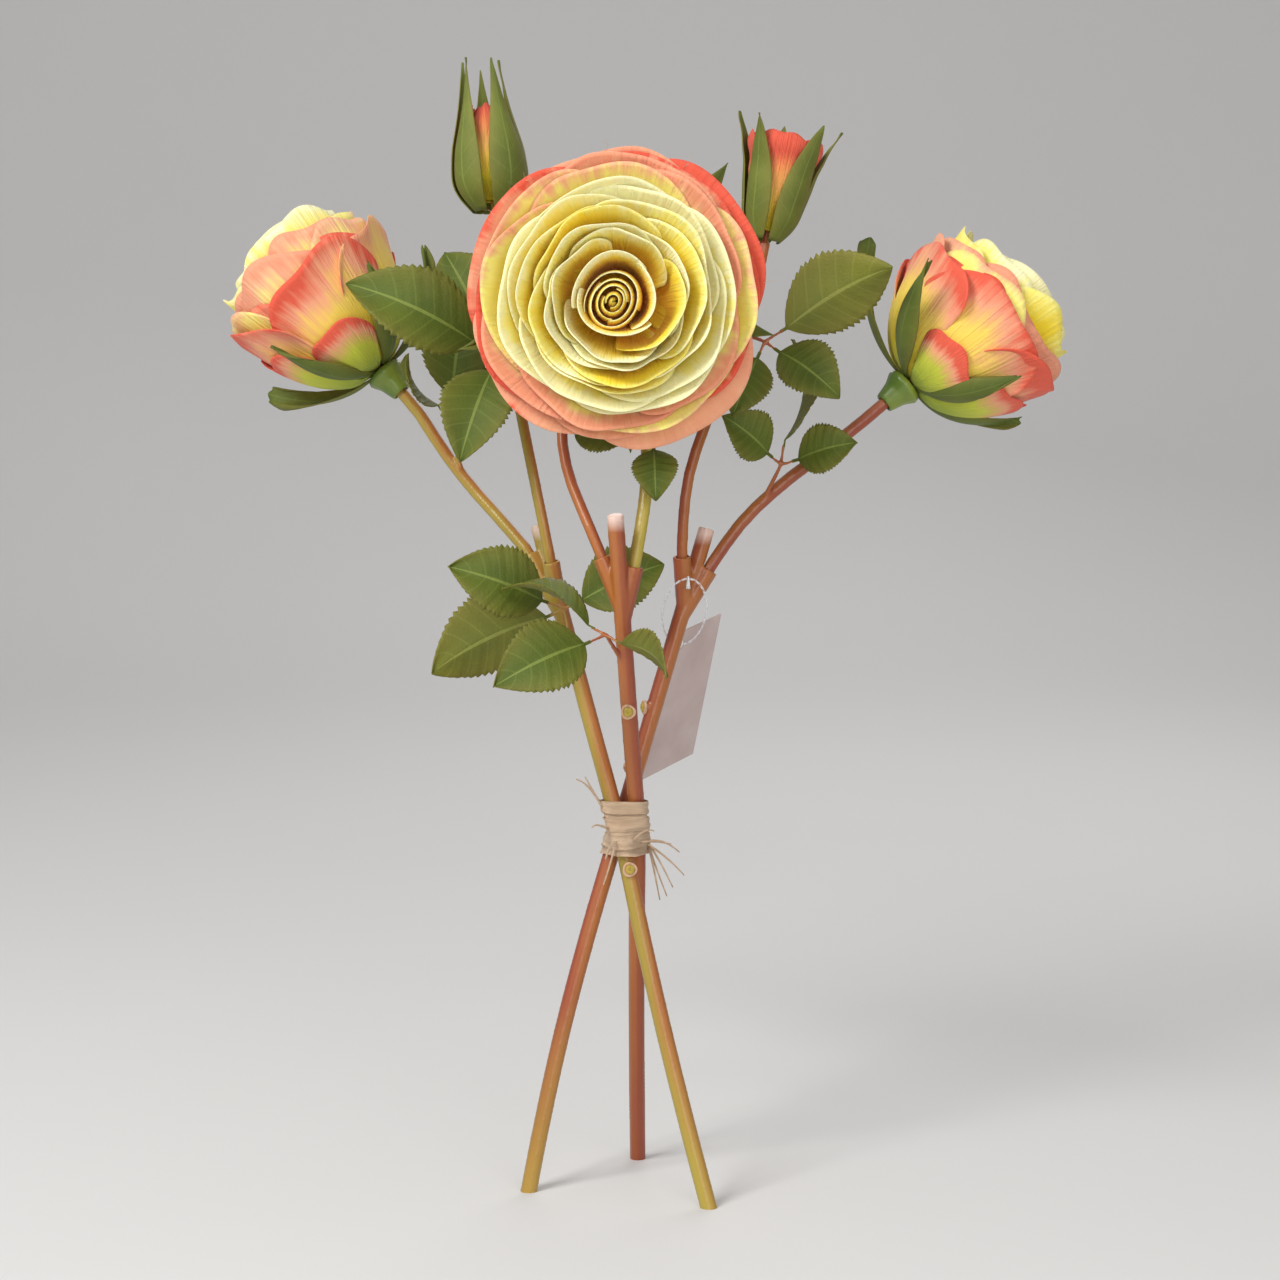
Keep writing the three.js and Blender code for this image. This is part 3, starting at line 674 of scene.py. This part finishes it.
def wrap_grid(profile, turn, half, rng, lean, pointed, low, high):
    """A sheet wrapped round a bud whose radius at each height is known."""
    heights, radii = profile
    u = np.linspace(0, 1, 17)[:, None]
    v = np.linspace(-1, 1, 11)[None, :]
    z0, z1 = heights[0], heights[-1]
    tip = high if pointed else high * (1 - 0.06 * v ** 2 + 0.02 * np.sin(7 * v + rng.uniform(0, 6)))
    z = z0 + (z1 - z0) * (low + (tip - low) * u * np.ones_like(v))
    r = np.interp(z, heights, radii) + lean * (0.25 + 0.75 * u) + BUD_TILT * v
    narrow = 1.35 * (1 - u) ** 0.75 * (0.8 + 0.45 * np.sin(math.pi * u)) if pointed else 1 - 0.25 * u
    angle = turn + v * half * narrow
    ring = r + BUD_BELLY * (1 - v ** 2) * np.sin(math.pi * u)
    grid = np.stack((ring * np.cos(angle), ring * np.sin(angle), z), -1)
    return grid, u * np.ones_like(v), 0.5 + 0.5 * v * np.ones_like(u)


def profile_of(place, node):
    """A bud part's radius at each of 14 heights, a little smoothed."""
    r, z = seen_from(place, node)
    order = np.argsort(z)
    heights = np.linspace(z.min(), z.max(), 14)
    radii = [r[order][np.abs(z[order] - h).argsort()[:6]].max() for h in heights]
    return heights, np.convolve(np.pad(radii, 1, mode="edge"), (0.25, 0.5, 0.25), mode="valid")


def bud_pieces(side, sepal, petal):
    """Five pointed sepals round two layers of rolled petals."""
    rng = random.Random(f"{side} bud")
    place = bud_matrix(side)
    calyx = profile_of(place, f"bud_calyx_{side}")
    inside = profile_of(place, f"bud_petals_{side}")
    green, coloured = Sheets(), Sheets()
    for n in range(SEPALS):
        turn = 2 * math.pi * (n + 0.5) / SEPALS + rng.uniform(-0.12, 0.12)
        reach = rng.uniform(0.93, 1.0)
        lean = rng.uniform(0, 0.9) * MM
        green.add(*wrap_grid(calyx, turn, 0.46, rng, lean, True, 0.0, reach), rng.random())
    for layer in range(2):
        for n in range(4):
            turn = 2 * math.pi * (n + 0.5 * layer) / 4 + rng.uniform(-0.2, 0.2)
            lean = (0.3 - 1.3 * layer) * MM
            grid = wrap_grid(inside, turn, 1.05, rng, lean, False, 0.02, 0.99 - 0.03 * layer)
            coloured.add(*grid, rng.random())
    settle(green.piece(f"bud_sepals_{side}", place, SEPAL_CLOTH, (sepal,)), "calyx", f"bud_calyx_{side}")
    rolled = coloured.piece(f"bud_rolled_petals_{side}", place, 0.3 * MM, (petal,))
    settle(rolled, "petal_bud", f"bud_petals_{side}")


# Leaves

def leaf_piece(node, settings, upper, under):
    """A serrated leaf with pressed veins, laid where the plain solid one is."""
    points = corners(node)
    centre = points.mean(0)
    _, directions = np.linalg.eigh(np.cov((points - centre).T))
    forward, normal = directions[:, 2], directions[:, 0]
    along = (points - centre) @ forward
    if abs(along.min()) > abs(along.max()):
        forward, along = -forward, -along
    base = points[along < along.min() + 0.4 * MM].mean(0)
    tip = points[along > along.max() - 0.4 * MM].mean(0)
    if (centre - (base + tip) / 2) @ normal < 0:
        normal = -normal
    length = np.linalg.norm(tip - base)
    forward = (tip - base) / length
    normal = normal - forward * (normal @ forward)
    normal /= np.linalg.norm(normal)
    across = np.cross(forward, normal)
    width = np.ptp((points - centre) @ across)
    rng = random.Random(node)
    rows, columns = 97, 17
    run = np.linspace(-LEAF_STALK, length, rows)[:, None]
    u = np.clip(run / length, 0, 1)
    v = np.linspace(-1, 1, columns)[None, :]
    blade = 0.5 * width * np.abs(np.sin(math.pi * u ** 0.82)) ** 0.85
    outline = np.maximum(blade, LEAF_STALK_HALF * (1 - u))
    saw = (u * settings.teeth) % 1.0
    bite = settings.bite * (1 - saw) * np.clip(np.sin(math.pi * u), 0, 1)
    x = v * outline * (1 + (0.08 - bite) * np.abs(v) ** 4)
    y = run + np.abs(v) ** 2 * outline * 0.12
    vein = np.abs(((u * settings.veins - np.abs(v) * 0.9) % 1.0) - 0.5) * 2
    quilt = LEAF_QUILT * (1 - vein ** 4) * np.abs(v) ** 0.5 * np.sin(math.pi * u)
    lift = 0.12 * length * 4 * u * (1 - u) + 0.26 * np.abs(x)
    lift = lift + quilt + LEAF_WAVE * np.sin(3 * v + 5 * u + rng.uniform(0, 6)) * u * np.abs(v)
    lift = lift - 0.1 * length * u ** 3 * rng.uniform(0.2, 1.0)
    lift = lift + LEAF_RIB * np.exp(-(v / 0.07) ** 2)
    twist = x * 0.25 * u * rng.uniform(-1, 1)
    grid = (base + x[..., None] * across + y[..., None] * forward
            + (lift + twist)[..., None] * normal)
    sheets = Sheets()
    sheets.add(grid, u * np.ones_like(v), 0.5 + 0.5 * v * np.ones_like(u), rng.random())
    made = sheets.piece(node.replace("leaf", "leaf_blade"), None, settings.cloth, (upper, under), 0)
    return settle(made, "leaf", node)


# Settings

def colour_setting(name, description, default):
    return FloatVectorProperty(name=name, description=description, default=default, subtype="COLOR")


def length_setting(name, description, default):
    return FloatProperty(name=name, description=description, default=default, unit="LENGTH")


class RoseSettings(bpy.types.PropertyGroup):
    ruffle: length_setting("Ruffle", "Height of the waves at a petal's edge", 0.8 * MM)
    curl: length_setting("Curl", "How far a petal's edge rolls outward", 2.2 * MM)
    step: length_setting("Step", "From one layer of petals to the next", 3.2 * MM)
    cloth: length_setting("Cloth", "Thickness of the petal cloth", 0.3 * MM)
    coral: colour_setting("Coral", "Dye of the outermost edges", (0.76, 0.10, 0.05))
    peach: colour_setting("Peach", "Dye of the outer petals", (0.84, 0.33, 0.19))
    lemon: colour_setting("Lemon", "Dye of the inner petals", (0.94, 0.70, 0.02))
    # Painted highlight: the pale cream at the rims of the inner and heart petals.
    rim_highlight: colour_setting("Cream", "Colour of the inner edges", (0.94, 0.88, 0.50))
    golden: colour_setting("Golden", "Dye deep in the folds", (0.86, 0.46, 0.008))


class LeafSettings(bpy.types.PropertyGroup):
    teeth: IntProperty(name="Teeth", description="Teeth along one edge", default=19)
    veins: IntProperty(name="Veins", description="Side veins along one half", default=7)
    bite: FloatProperty(name="Bite", description="Depth of a tooth, as a share of the half width",
                        default=0.13)
    cloth: length_setting("Cloth", "Thickness of a leaf", 0.35 * MM)
    green: colour_setting("Green", "Upper face", (0.042, 0.070, 0.006))
    olive: colour_setting("Olive", "Under face", (0.085, 0.105, 0.016))


class StemSettings(bpy.types.PropertyGroup):
    grain: length_setting("Grain", "Size of the cells that round the stems", 0.5 * MM)
    olive: colour_setting("Olive", "Yellow-green tone", (0.34, 0.24, 0.035))
    orange: colour_setting("Orange", "Orange-brown tone", (0.38, 0.125, 0.028))
    russet: colour_setting("Russet", "Red-brown tone", (0.29, 0.058, 0.022))
    lime: colour_setting("Lime", "Yellow foot", (0.44, 0.34, 0.045))


class RaffiaSettings(bpy.types.PropertyGroup):
    turns: IntProperty(name="Turns", description="Times the strip goes round the stems", default=6)
    strip: length_setting("Strip", "Width of the strip", 4.6 * MM)
    pale: colour_setting("Pale", "Light fibres", (0.80, 0.58, 0.38))
    dark: colour_setting("Dark", "Dark fibres", (0.56, 0.34, 0.19))


class StageSettings(bpy.types.PropertyGroup):
    lens: FloatProperty(name="Lens", description="Focal length on a 36 mm sensor",
                        default=70.3, unit="CAMERA")
    side: length_setting("Side", "How far right of the bunch's middle the camera stands", -1.4 * MM)
    distance: length_setting("Distance", "From the box's front to the camera", 0.832)
    height: length_setting("Height", "Height of the camera", 0.265)
    floor: colour_setting("Floor", "Colour of the floor", (0.70, 0.69, 0.67))


SETTINGS = {
    "fabric_roses": RoseSettings,
    "fabric_leaves": LeafSettings,
    "moulded_stems": StemSettings,
    "raffia_wrap": RaffiaSettings,
    "rose_stage": StageSettings,
}


# Operators

class ROSES_OT_stage(bpy.types.Operator):
    """Make the floor, the lights and the camera"""
    bl_idname = "roses.stage"
    bl_label = "Stage"

    def execute(self, context):
        settings = context.scene.rose_stage
        low, high = CAD_BOX
        finish = Finish("stage_floor", 0.9)
        cloud = finish.noise(finish.place(), 3.0, 2.0)
        pale = Vector(settings.floor)
        finish.done(finish.ramp(cloud, [(0.0, pale * 0.97), (1.0, pale)]))
        verts = [(x, y, z) for y, z in FLOOR_PROFILE for x in (-FLOOR_HALF, FLOOR_HALF)]
        faces = [(2 * i, 2 * i + 1, 2 * i + 3, 2 * i + 2) for i in range(len(FLOOR_PROFILE) - 1)]
        mesh = bpy.data.meshes.new("stage_floor")
        mesh.from_pydata(verts, [], faces)
        mesh.materials.append(finish.material)
        mesh.shade_smooth()
        floor = bpy.data.objects.new("stage_floor", mesh)
        context.scene.collection.objects.link(floor)
        round_off = floor.modifiers.new("round", "SUBSURF")
        round_off.render_levels = round_off.levels = 3
        middle = Vector(((low.x + high.x) / 2, (low.y + high.y) / 2, 0.6 * high.z))
        for name, spot, width, power in LIGHTS:
            lamp = bpy.data.lights.new(name, "AREA")
            lamp.size, lamp.energy = width, power
            light = bpy.data.objects.new(name, lamp)
            context.scene.collection.objects.link(light)
            light.location = spot
            light.rotation_euler = (middle - Vector(spot)).to_track_quat("-Z", "Y").to_euler()
        world = bpy.data.worlds.new("studio")
        world.use_nodes = True
        sky = world.node_tree.nodes["Background"].inputs
        sky["Color"].default_value = SKY
        sky["Strength"].default_value = SKY_STRENGTH
        context.scene.world = world
        lens = bpy.data.cameras.new("camera")
        lens.lens, lens.sensor_width = settings.lens, 36.0
        camera = bpy.data.objects.new("camera", lens)
        context.scene.collection.objects.link(camera)
        camera.location = (settings.side, low.y - settings.distance, settings.height)
        camera.rotation_euler = (CAMERA_TILT, 0, 0)
        context.scene.camera = camera
        context.scene.view_settings.view_transform = "Standard"
        return {"FINISHED"}


class ROSES_OT_stems(bpy.types.Operator):
    """Round the moulded stems, branches and hips, and give them their plastic"""
    bl_idname = "roses.stems"
    bl_label = "Stems"

    def execute(self, context):
        s = context.scene.moulded_stems
        tones = {  # shaded side, lit side, foot
            "main_stem_left": (s.olive, s.orange, s.lime),
            "main_stem_middle": (s.orange, s.russet, s.russet),
            "main_stem_right": (s.russet, s.orange, s.lime),
            "rose_branch_left": (s.olive, s.orange, s.olive),
            "rose_branch_middle": (s.olive, s.lime, s.olive),
            "rose_branch_right": (s.orange, s.russet, s.olive),
            "bud_branch_left": (s.olive, s.orange, s.olive),
            "bud_branch_middle": (s.orange, s.russet, s.olive),
            "bud_branch_right": (s.russet, s.orange, s.olive),
        }
        for node, (shaded, lit, foot) in tones.items():
            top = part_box(node)[1].z if node.startswith("main") else None
            finish = stem_finish(node + "_plastic", shaded[:], lit[:], foot[:], top)
            self.dress(node, finish, s.grain)
        shaded, lit, foot = (0.07, 0.13, 0.012), (0.20, 0.26, 0.03), (0.1, 0.16, 0.02)
        for side in SIDES:
            green = stem_finish(f"hip_{side}_plastic", shaded, lit, foot, None)
            self.dress(f"rose_hip_{side}", green, s.grain)
        return {"FINISHED"}

    def dress(self, node, material, grain):
        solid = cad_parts[node]
        solid.data.materials.clear()
        solid.data.materials.append(material)
        cells = solid.modifiers.new("cells", "REMESH")
        cells.mode, cells.voxel_size, cells.use_smooth_shade = "VOXEL", grain, True
        rounding = solid.modifiers.new("rounding", "SMOOTH")
        rounding.factor, rounding.iterations = 0.6, 6


SCAR_SHAPES = (  # name, radii and heights in millimetres
    ("ring", (2.3, 2.75, 2.5, 2.0, 1.75), (-0.5, 0.1, 0.6, 0.55, 0.1)),
    ("knob", (1.7, 1.55, 1.1, 0.55, 0.05), (0.1, 0.95, 1.25, 1.15, 1.0)),
)


class ROSES_OT_scars(bpy.types.Operator):
    """Mark the leaf scars: a pale ring round a yellow knob"""
    bl_idname = "roses.scars"
    bl_label = "Leaf Scars"

    def execute(self, context):
        finishes = {
            "ring": fibre_finish("scar_ring", (0.80, 0.52, 0.34), (0.55, 0.28, 0.12)),
            "knob": fibre_finish("scar_knob", (0.66, 0.50, 0.06), (0.46, 0.30, 0.03)),
        }
        for side in SIDES:
            for n, (spot, outward) in enumerate(scars_on(side)):
                place = flower_matrix(spot - outward * 0.9 * MM, outward)
                turn = np.linspace(0, 2 * math.pi, 28, endpoint=False)[None, :]
                for name, radii, heights in SCAR_SHAPES:
                    r = np.array(radii)[:, None] * MM * (1 + 0.05 * np.sin(3 * turn + n))
                    z = np.array(heights)[:, None] * MM * np.ones_like(turn)
                    sheets = Sheets()
                    grid = np.stack((r * np.cos(turn), r * np.sin(turn), z), -1)
                    along = np.linspace(0, 1, len(radii))[:, None]
                    sheets.add(grid, along, turn / DYE_TURN, 0.5, closed=True)
                    made = sheets.piece(f"scar_{name}_{side}_{n}", place, 0.2 * MM, (finishes[name],))
                    settle(made, "stem")
        return {"FINISHED"}


class ROSES_OT_roses(bpy.types.Operator):
    """Make the three roses: ruffled whorls, rolled hearts and sepals"""
    bl_idname = "roses.roses"
    bl_label = "Roses"

    def execute(self, context):
        s = context.scene.fabric_roses
        coral, peach, lemon = tuple(s.coral), tuple(s.peach), tuple(s.lemon)
        rim_highlight, golden = tuple(s.rim_highlight), tuple(s.golden)
        blush, butter, amber = (0.88, 0.45, 0.25), (0.93, 0.82, 0.22), (0.90, 0.60, 0.10)
        rust, lime, moss = (0.80, 0.30, 0.01), (0.34, 0.42, 0.02), (0.55, 0.58, 0.04)
        outer = petal_finish("outer_petals", [
            (0.3, golden), (0.6, lemon), (0.76, blush), (0.95, peach), (1.0, coral)])
        warm = petal_finish("warm_petals", [
            (0.3, golden), (0.6, lemon), (0.86, butter), (0.95, blush), (1.0, peach)])
        # The inner and heart petals end in pale cream at their rims, a painted highlight.
        inner = petal_finish("inner_petals", [(0.5, golden), (0.8, lemon), (0.93, butter), (1.0, rim_highlight)])
        heart = petal_finish("heart_petals", [(0.25, rust), (0.6, golden), (0.85, lemon), (1.0, rim_highlight)])
        side = petal_finish("side_petals", [
            (0.12, lime), (0.34, lemon), (0.7, amber), (0.88, peach), (1.0, coral)], 0.16)
        basal = petal_finish("basal_petals", [(0.45, lime), (0.75, moss), (0.93, peach), (1.0, coral)], 0.1)
        sepal = leaf_finish("sepals", (0.045, 0.075, 0.010), (0.13, 0.17, 0.022), (0.14, 0.18, 0.03))
        for name in SIDES:
            place = rose_matrix(name)
            looks = [outer, warm, inner, inner, inner] if name == "middle" else [side, warm, inner]
            for level in range(ROSE_WHORLS[name]):
                whorl_piece(name, level, place, s, looks[level])
            heart_piece(name, place, s, heart)
            if name != "middle":
                basal_piece(name, place, s, basal)
            calyx_piece(name, place, sepal)
        return {"FINISHED"}


class ROSES_OT_buds(bpy.types.Operator):
    """Make the three buds: sepals round rolled petals"""
    bl_idname = "roses.buds"
    bl_label = "Buds"

    def execute(self, context):
        s = context.scene.fabric_roses
        sepal = leaf_finish("bud_sepals", (0.07, 0.10, 0.012), (0.19, 0.22, 0.035), (0.20, 0.24, 0.05))
        apricot = (0.88, 0.42, 0.10)
        petal = petal_finish("bud_petals", [(0.1, tuple(s.lemon)), (0.5, apricot), (0.85, tuple(s.coral))])
        for side in SIDES:
            bud_pieces(side, sepal, petal)
        return {"FINISHED"}


class ROSES_OT_leaves(bpy.types.Operator):
    """Make every leaf, serrated and veined"""
    bl_idname = "roses.leaves"
    bl_label = "Leaves"

    def execute(self, context):
        s = context.scene.fabric_leaves
        upper = leaf_finish("leaf_upper", tuple(s.green), (0.115, 0.155, 0.014), (0.20, 0.25, 0.045))
        under = leaf_finish("leaf_under", tuple(s.olive), (0.19, 0.20, 0.022), (0.27, 0.29, 0.06))
        for node in sorted(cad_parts):
            if node.startswith("leaf_"):
                leaf_piece(node, s, upper, under)
        return {"FINISHED"}


RAFFIA_ENDS = (  # bearing in degrees, share of the band's height, rise in degrees, length in millimetres
    (190, 0.9, 45, 13), (200, 0.85, 62, 14), (215, 0.5, 10, 7), (224, 0.2, -65, 14), (236, 0.3, -40, 9),
    (322, 0.3, 24, 10), (328, 0.25, 4, 13), (332, 0.25, -14, 14), (335, 0.2, -35, 17),
    (340, 0.2, -58, 19), (345, 0.15, -68, 20), (350, 0.15, -78, 20),
)


class ROSES_OT_raffia(bpy.types.Operator):
    """Wind the raffia round the stems, with its loose ends"""
    bl_idname = "roses.raffia"
    bl_label = "Raffia"

    def execute(self, context):
        s = context.scene.raffia_wrap
        rng = random.Random("raffia")
        low, high = band_ends()
        bundle = Bundle(low, high)
        turns = self.turns(s, rng, bundle, low, high)
        fibre = fibre_finish("raffia_fibre", tuple(s.pale), tuple(s.dark))
        settle(turns.piece("raffia_turns", None, 0.25 * MM, (fibre,)), "raffia", "raffia_tie")
        lines = [self.loose_end(rng, bundle, low, high, *end) for end in RAFFIA_ENDS]
        settle(tube("raffia_ends", lines, 0.7 * MM, fibre, flat=0.7), "raffia")
        return {"FINISHED"}

    def turns(self, settings, rng, bundle, low, high):
        """The strip's turns, each a little askew and every other one over the last."""
        sheets = Sheets()
        steps, columns = 40, 7
        travel = (high - low - settings.strip) / (settings.turns - 1)
        for turn in range(settings.turns):
            slope = rng.uniform(-1.2, 1.2) * MM
            grid = []
            for k in range(steps + 1):
                angle = 2 * math.pi * k / steps
                out = (0.45 + 0.55 * (turn % 2) + 0.15 * math.sin(3 * angle + turn)) * MM
                middle = low + settings.strip / 2 + travel * turn + slope * math.sin(angle + turn)
                row = []
                for w in np.linspace(-0.5, 0.5, columns):
                    crease = 0.22 * MM * math.sin(9 * w + turn) + 0.12 * MM * math.sin(23 * w + 2 * turn)
                    z = min(high, max(low, middle + w * settings.strip))
                    row.append(bundle.at(angle, z, out + crease))
                grid.append(row)
            along = np.linspace(0, 3, steps + 1)[:, None]
            sheets.add(np.array(grid), along, np.linspace(0, 1, columns)[None], rng.random())
        return sheets

    def loose_end(self, rng, bundle, low, high, bearing, share, rise, length):
        """The line of one loose end, which starts in the band and sags and bends on its way."""
        angle, lift = math.radians(bearing), math.radians(rise)
        start = bundle.at(angle, low + share * (high - low), 0.6 * MM)
        way = np.array((math.cos(angle) * math.cos(lift), math.sin(angle) * math.cos(lift), math.sin(lift)))
        bend = drift(rng) * 1.6 * MM
        t = np.linspace(0, 1, 9)[:, None]
        arch = np.array(UP) * 1.2 * MM * np.sin(math.pi * t)
        return start + way * t * length * MM + bend * np.sin(2.6 * t) + arch


class ROSES_OT_tag(bpy.types.Operator):
    """Dress the swing tag and its nylon loop, and add the loop's lock"""
    bl_idname = "roses.tag"
    bl_label = "Tag"

    def execute(self, context):
        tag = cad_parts["swing_tag"]
        tag.data.materials.clear()
        tag.data.materials.append(card_finish())
        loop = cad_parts["tag_loop"]
        nylon = nylon_finish()
        loop.data.materials.clear()
        loop.data.materials.append(nylon)
        rounding = loop.modifiers.new("rounding", "SUBSURF")
        rounding.levels = rounding.render_levels = 2
        points = corners("tag_loop")
        top = points[points[:, 2].argmax()]
        lock = np.linspace(-4.2 * MM, 0.4 * MM, 9)
        line = [top + np.array((0.0, -0.6 * MM, z)) for z in lock]
        settle(tube("loop_lock", [line], 1.5 * MM, nylon, flat=0.5), "loop")
        return {"FINISHED"}


class ROSES_OT_threads(bpy.types.Operator):
    """Add a few frayed threads at the cut edges of the open rose"""
    bl_idname = "roses.threads"
    bl_label = "Threads"

    def execute(self, context):
        rng = random.Random("threads")
        place = rose_matrix("middle")
        cup = Cup.of(place, "petals_middle_1")
        lines = []
        for _ in range(9):
            angle = rng.uniform(0, 2 * math.pi)
            r, z, _, _ = cup.at(0.97)
            spread = drift(rng)
            t = np.linspace(0, 1, 7)[:, None]
            start = np.array((r * math.cos(angle), r * math.sin(angle), float(z)))
            outward = start * (rng.uniform(0.05, 0.1), rng.uniform(0.05, 0.1), 0)
            lines.append(moved(start + t * outward + 1.5 * MM * spread * np.sin(3 * t), place))
        thread = fibre_finish("thread", (0.90, 0.62, 0.45), (0.84, 0.42, 0.25))
        settle(tube("frayed_threads", lines, 0.09 * MM, thread), "petal_outer")
        return {"FINISHED"}


OPERATORS = (
    ROSES_OT_stage, ROSES_OT_stems, ROSES_OT_scars, ROSES_OT_roses, ROSES_OT_buds,
    ROSES_OT_leaves, ROSES_OT_raffia, ROSES_OT_tag, ROSES_OT_threads,
)


class ROSES_PT_panel(bpy.types.Panel):
    """The pieces of the bunch, in the order they are made"""
    bl_idname = "ROSES_PT_panel"
    bl_label = "Bunch of Roses"
    bl_space_type = "VIEW_3D"
    bl_region_type = "UI"
    bl_category = "Roses"

    def draw(self, context):
        for operator in OPERATORS:
            self.layout.operator(operator.bl_idname)
        for name, group in SETTINGS.items():
            box = self.layout.box()
            for key in group.__annotations__:
                box.prop(getattr(context.scene, name), key)


def register():
    for group in (*SETTINGS.values(), *OPERATORS, ROSES_PT_panel):
        bpy.utils.register_class(group)
    for name, group in SETTINGS.items():
        setattr(bpy.types.Scene, name, PointerProperty(type=group))


def unregister():
    for name in SETTINGS:
        delattr(bpy.types.Scene, name)
    for group in reversed((*SETTINGS.values(), *OPERATORS, ROSES_PT_panel)):
        bpy.utils.unregister_class(group)


def main():
    register()
    for operator in OPERATORS:
        getattr(bpy.ops.roses, operator.bl_idname.split(".")[1])()


if __name__ == "__main__":
    main()
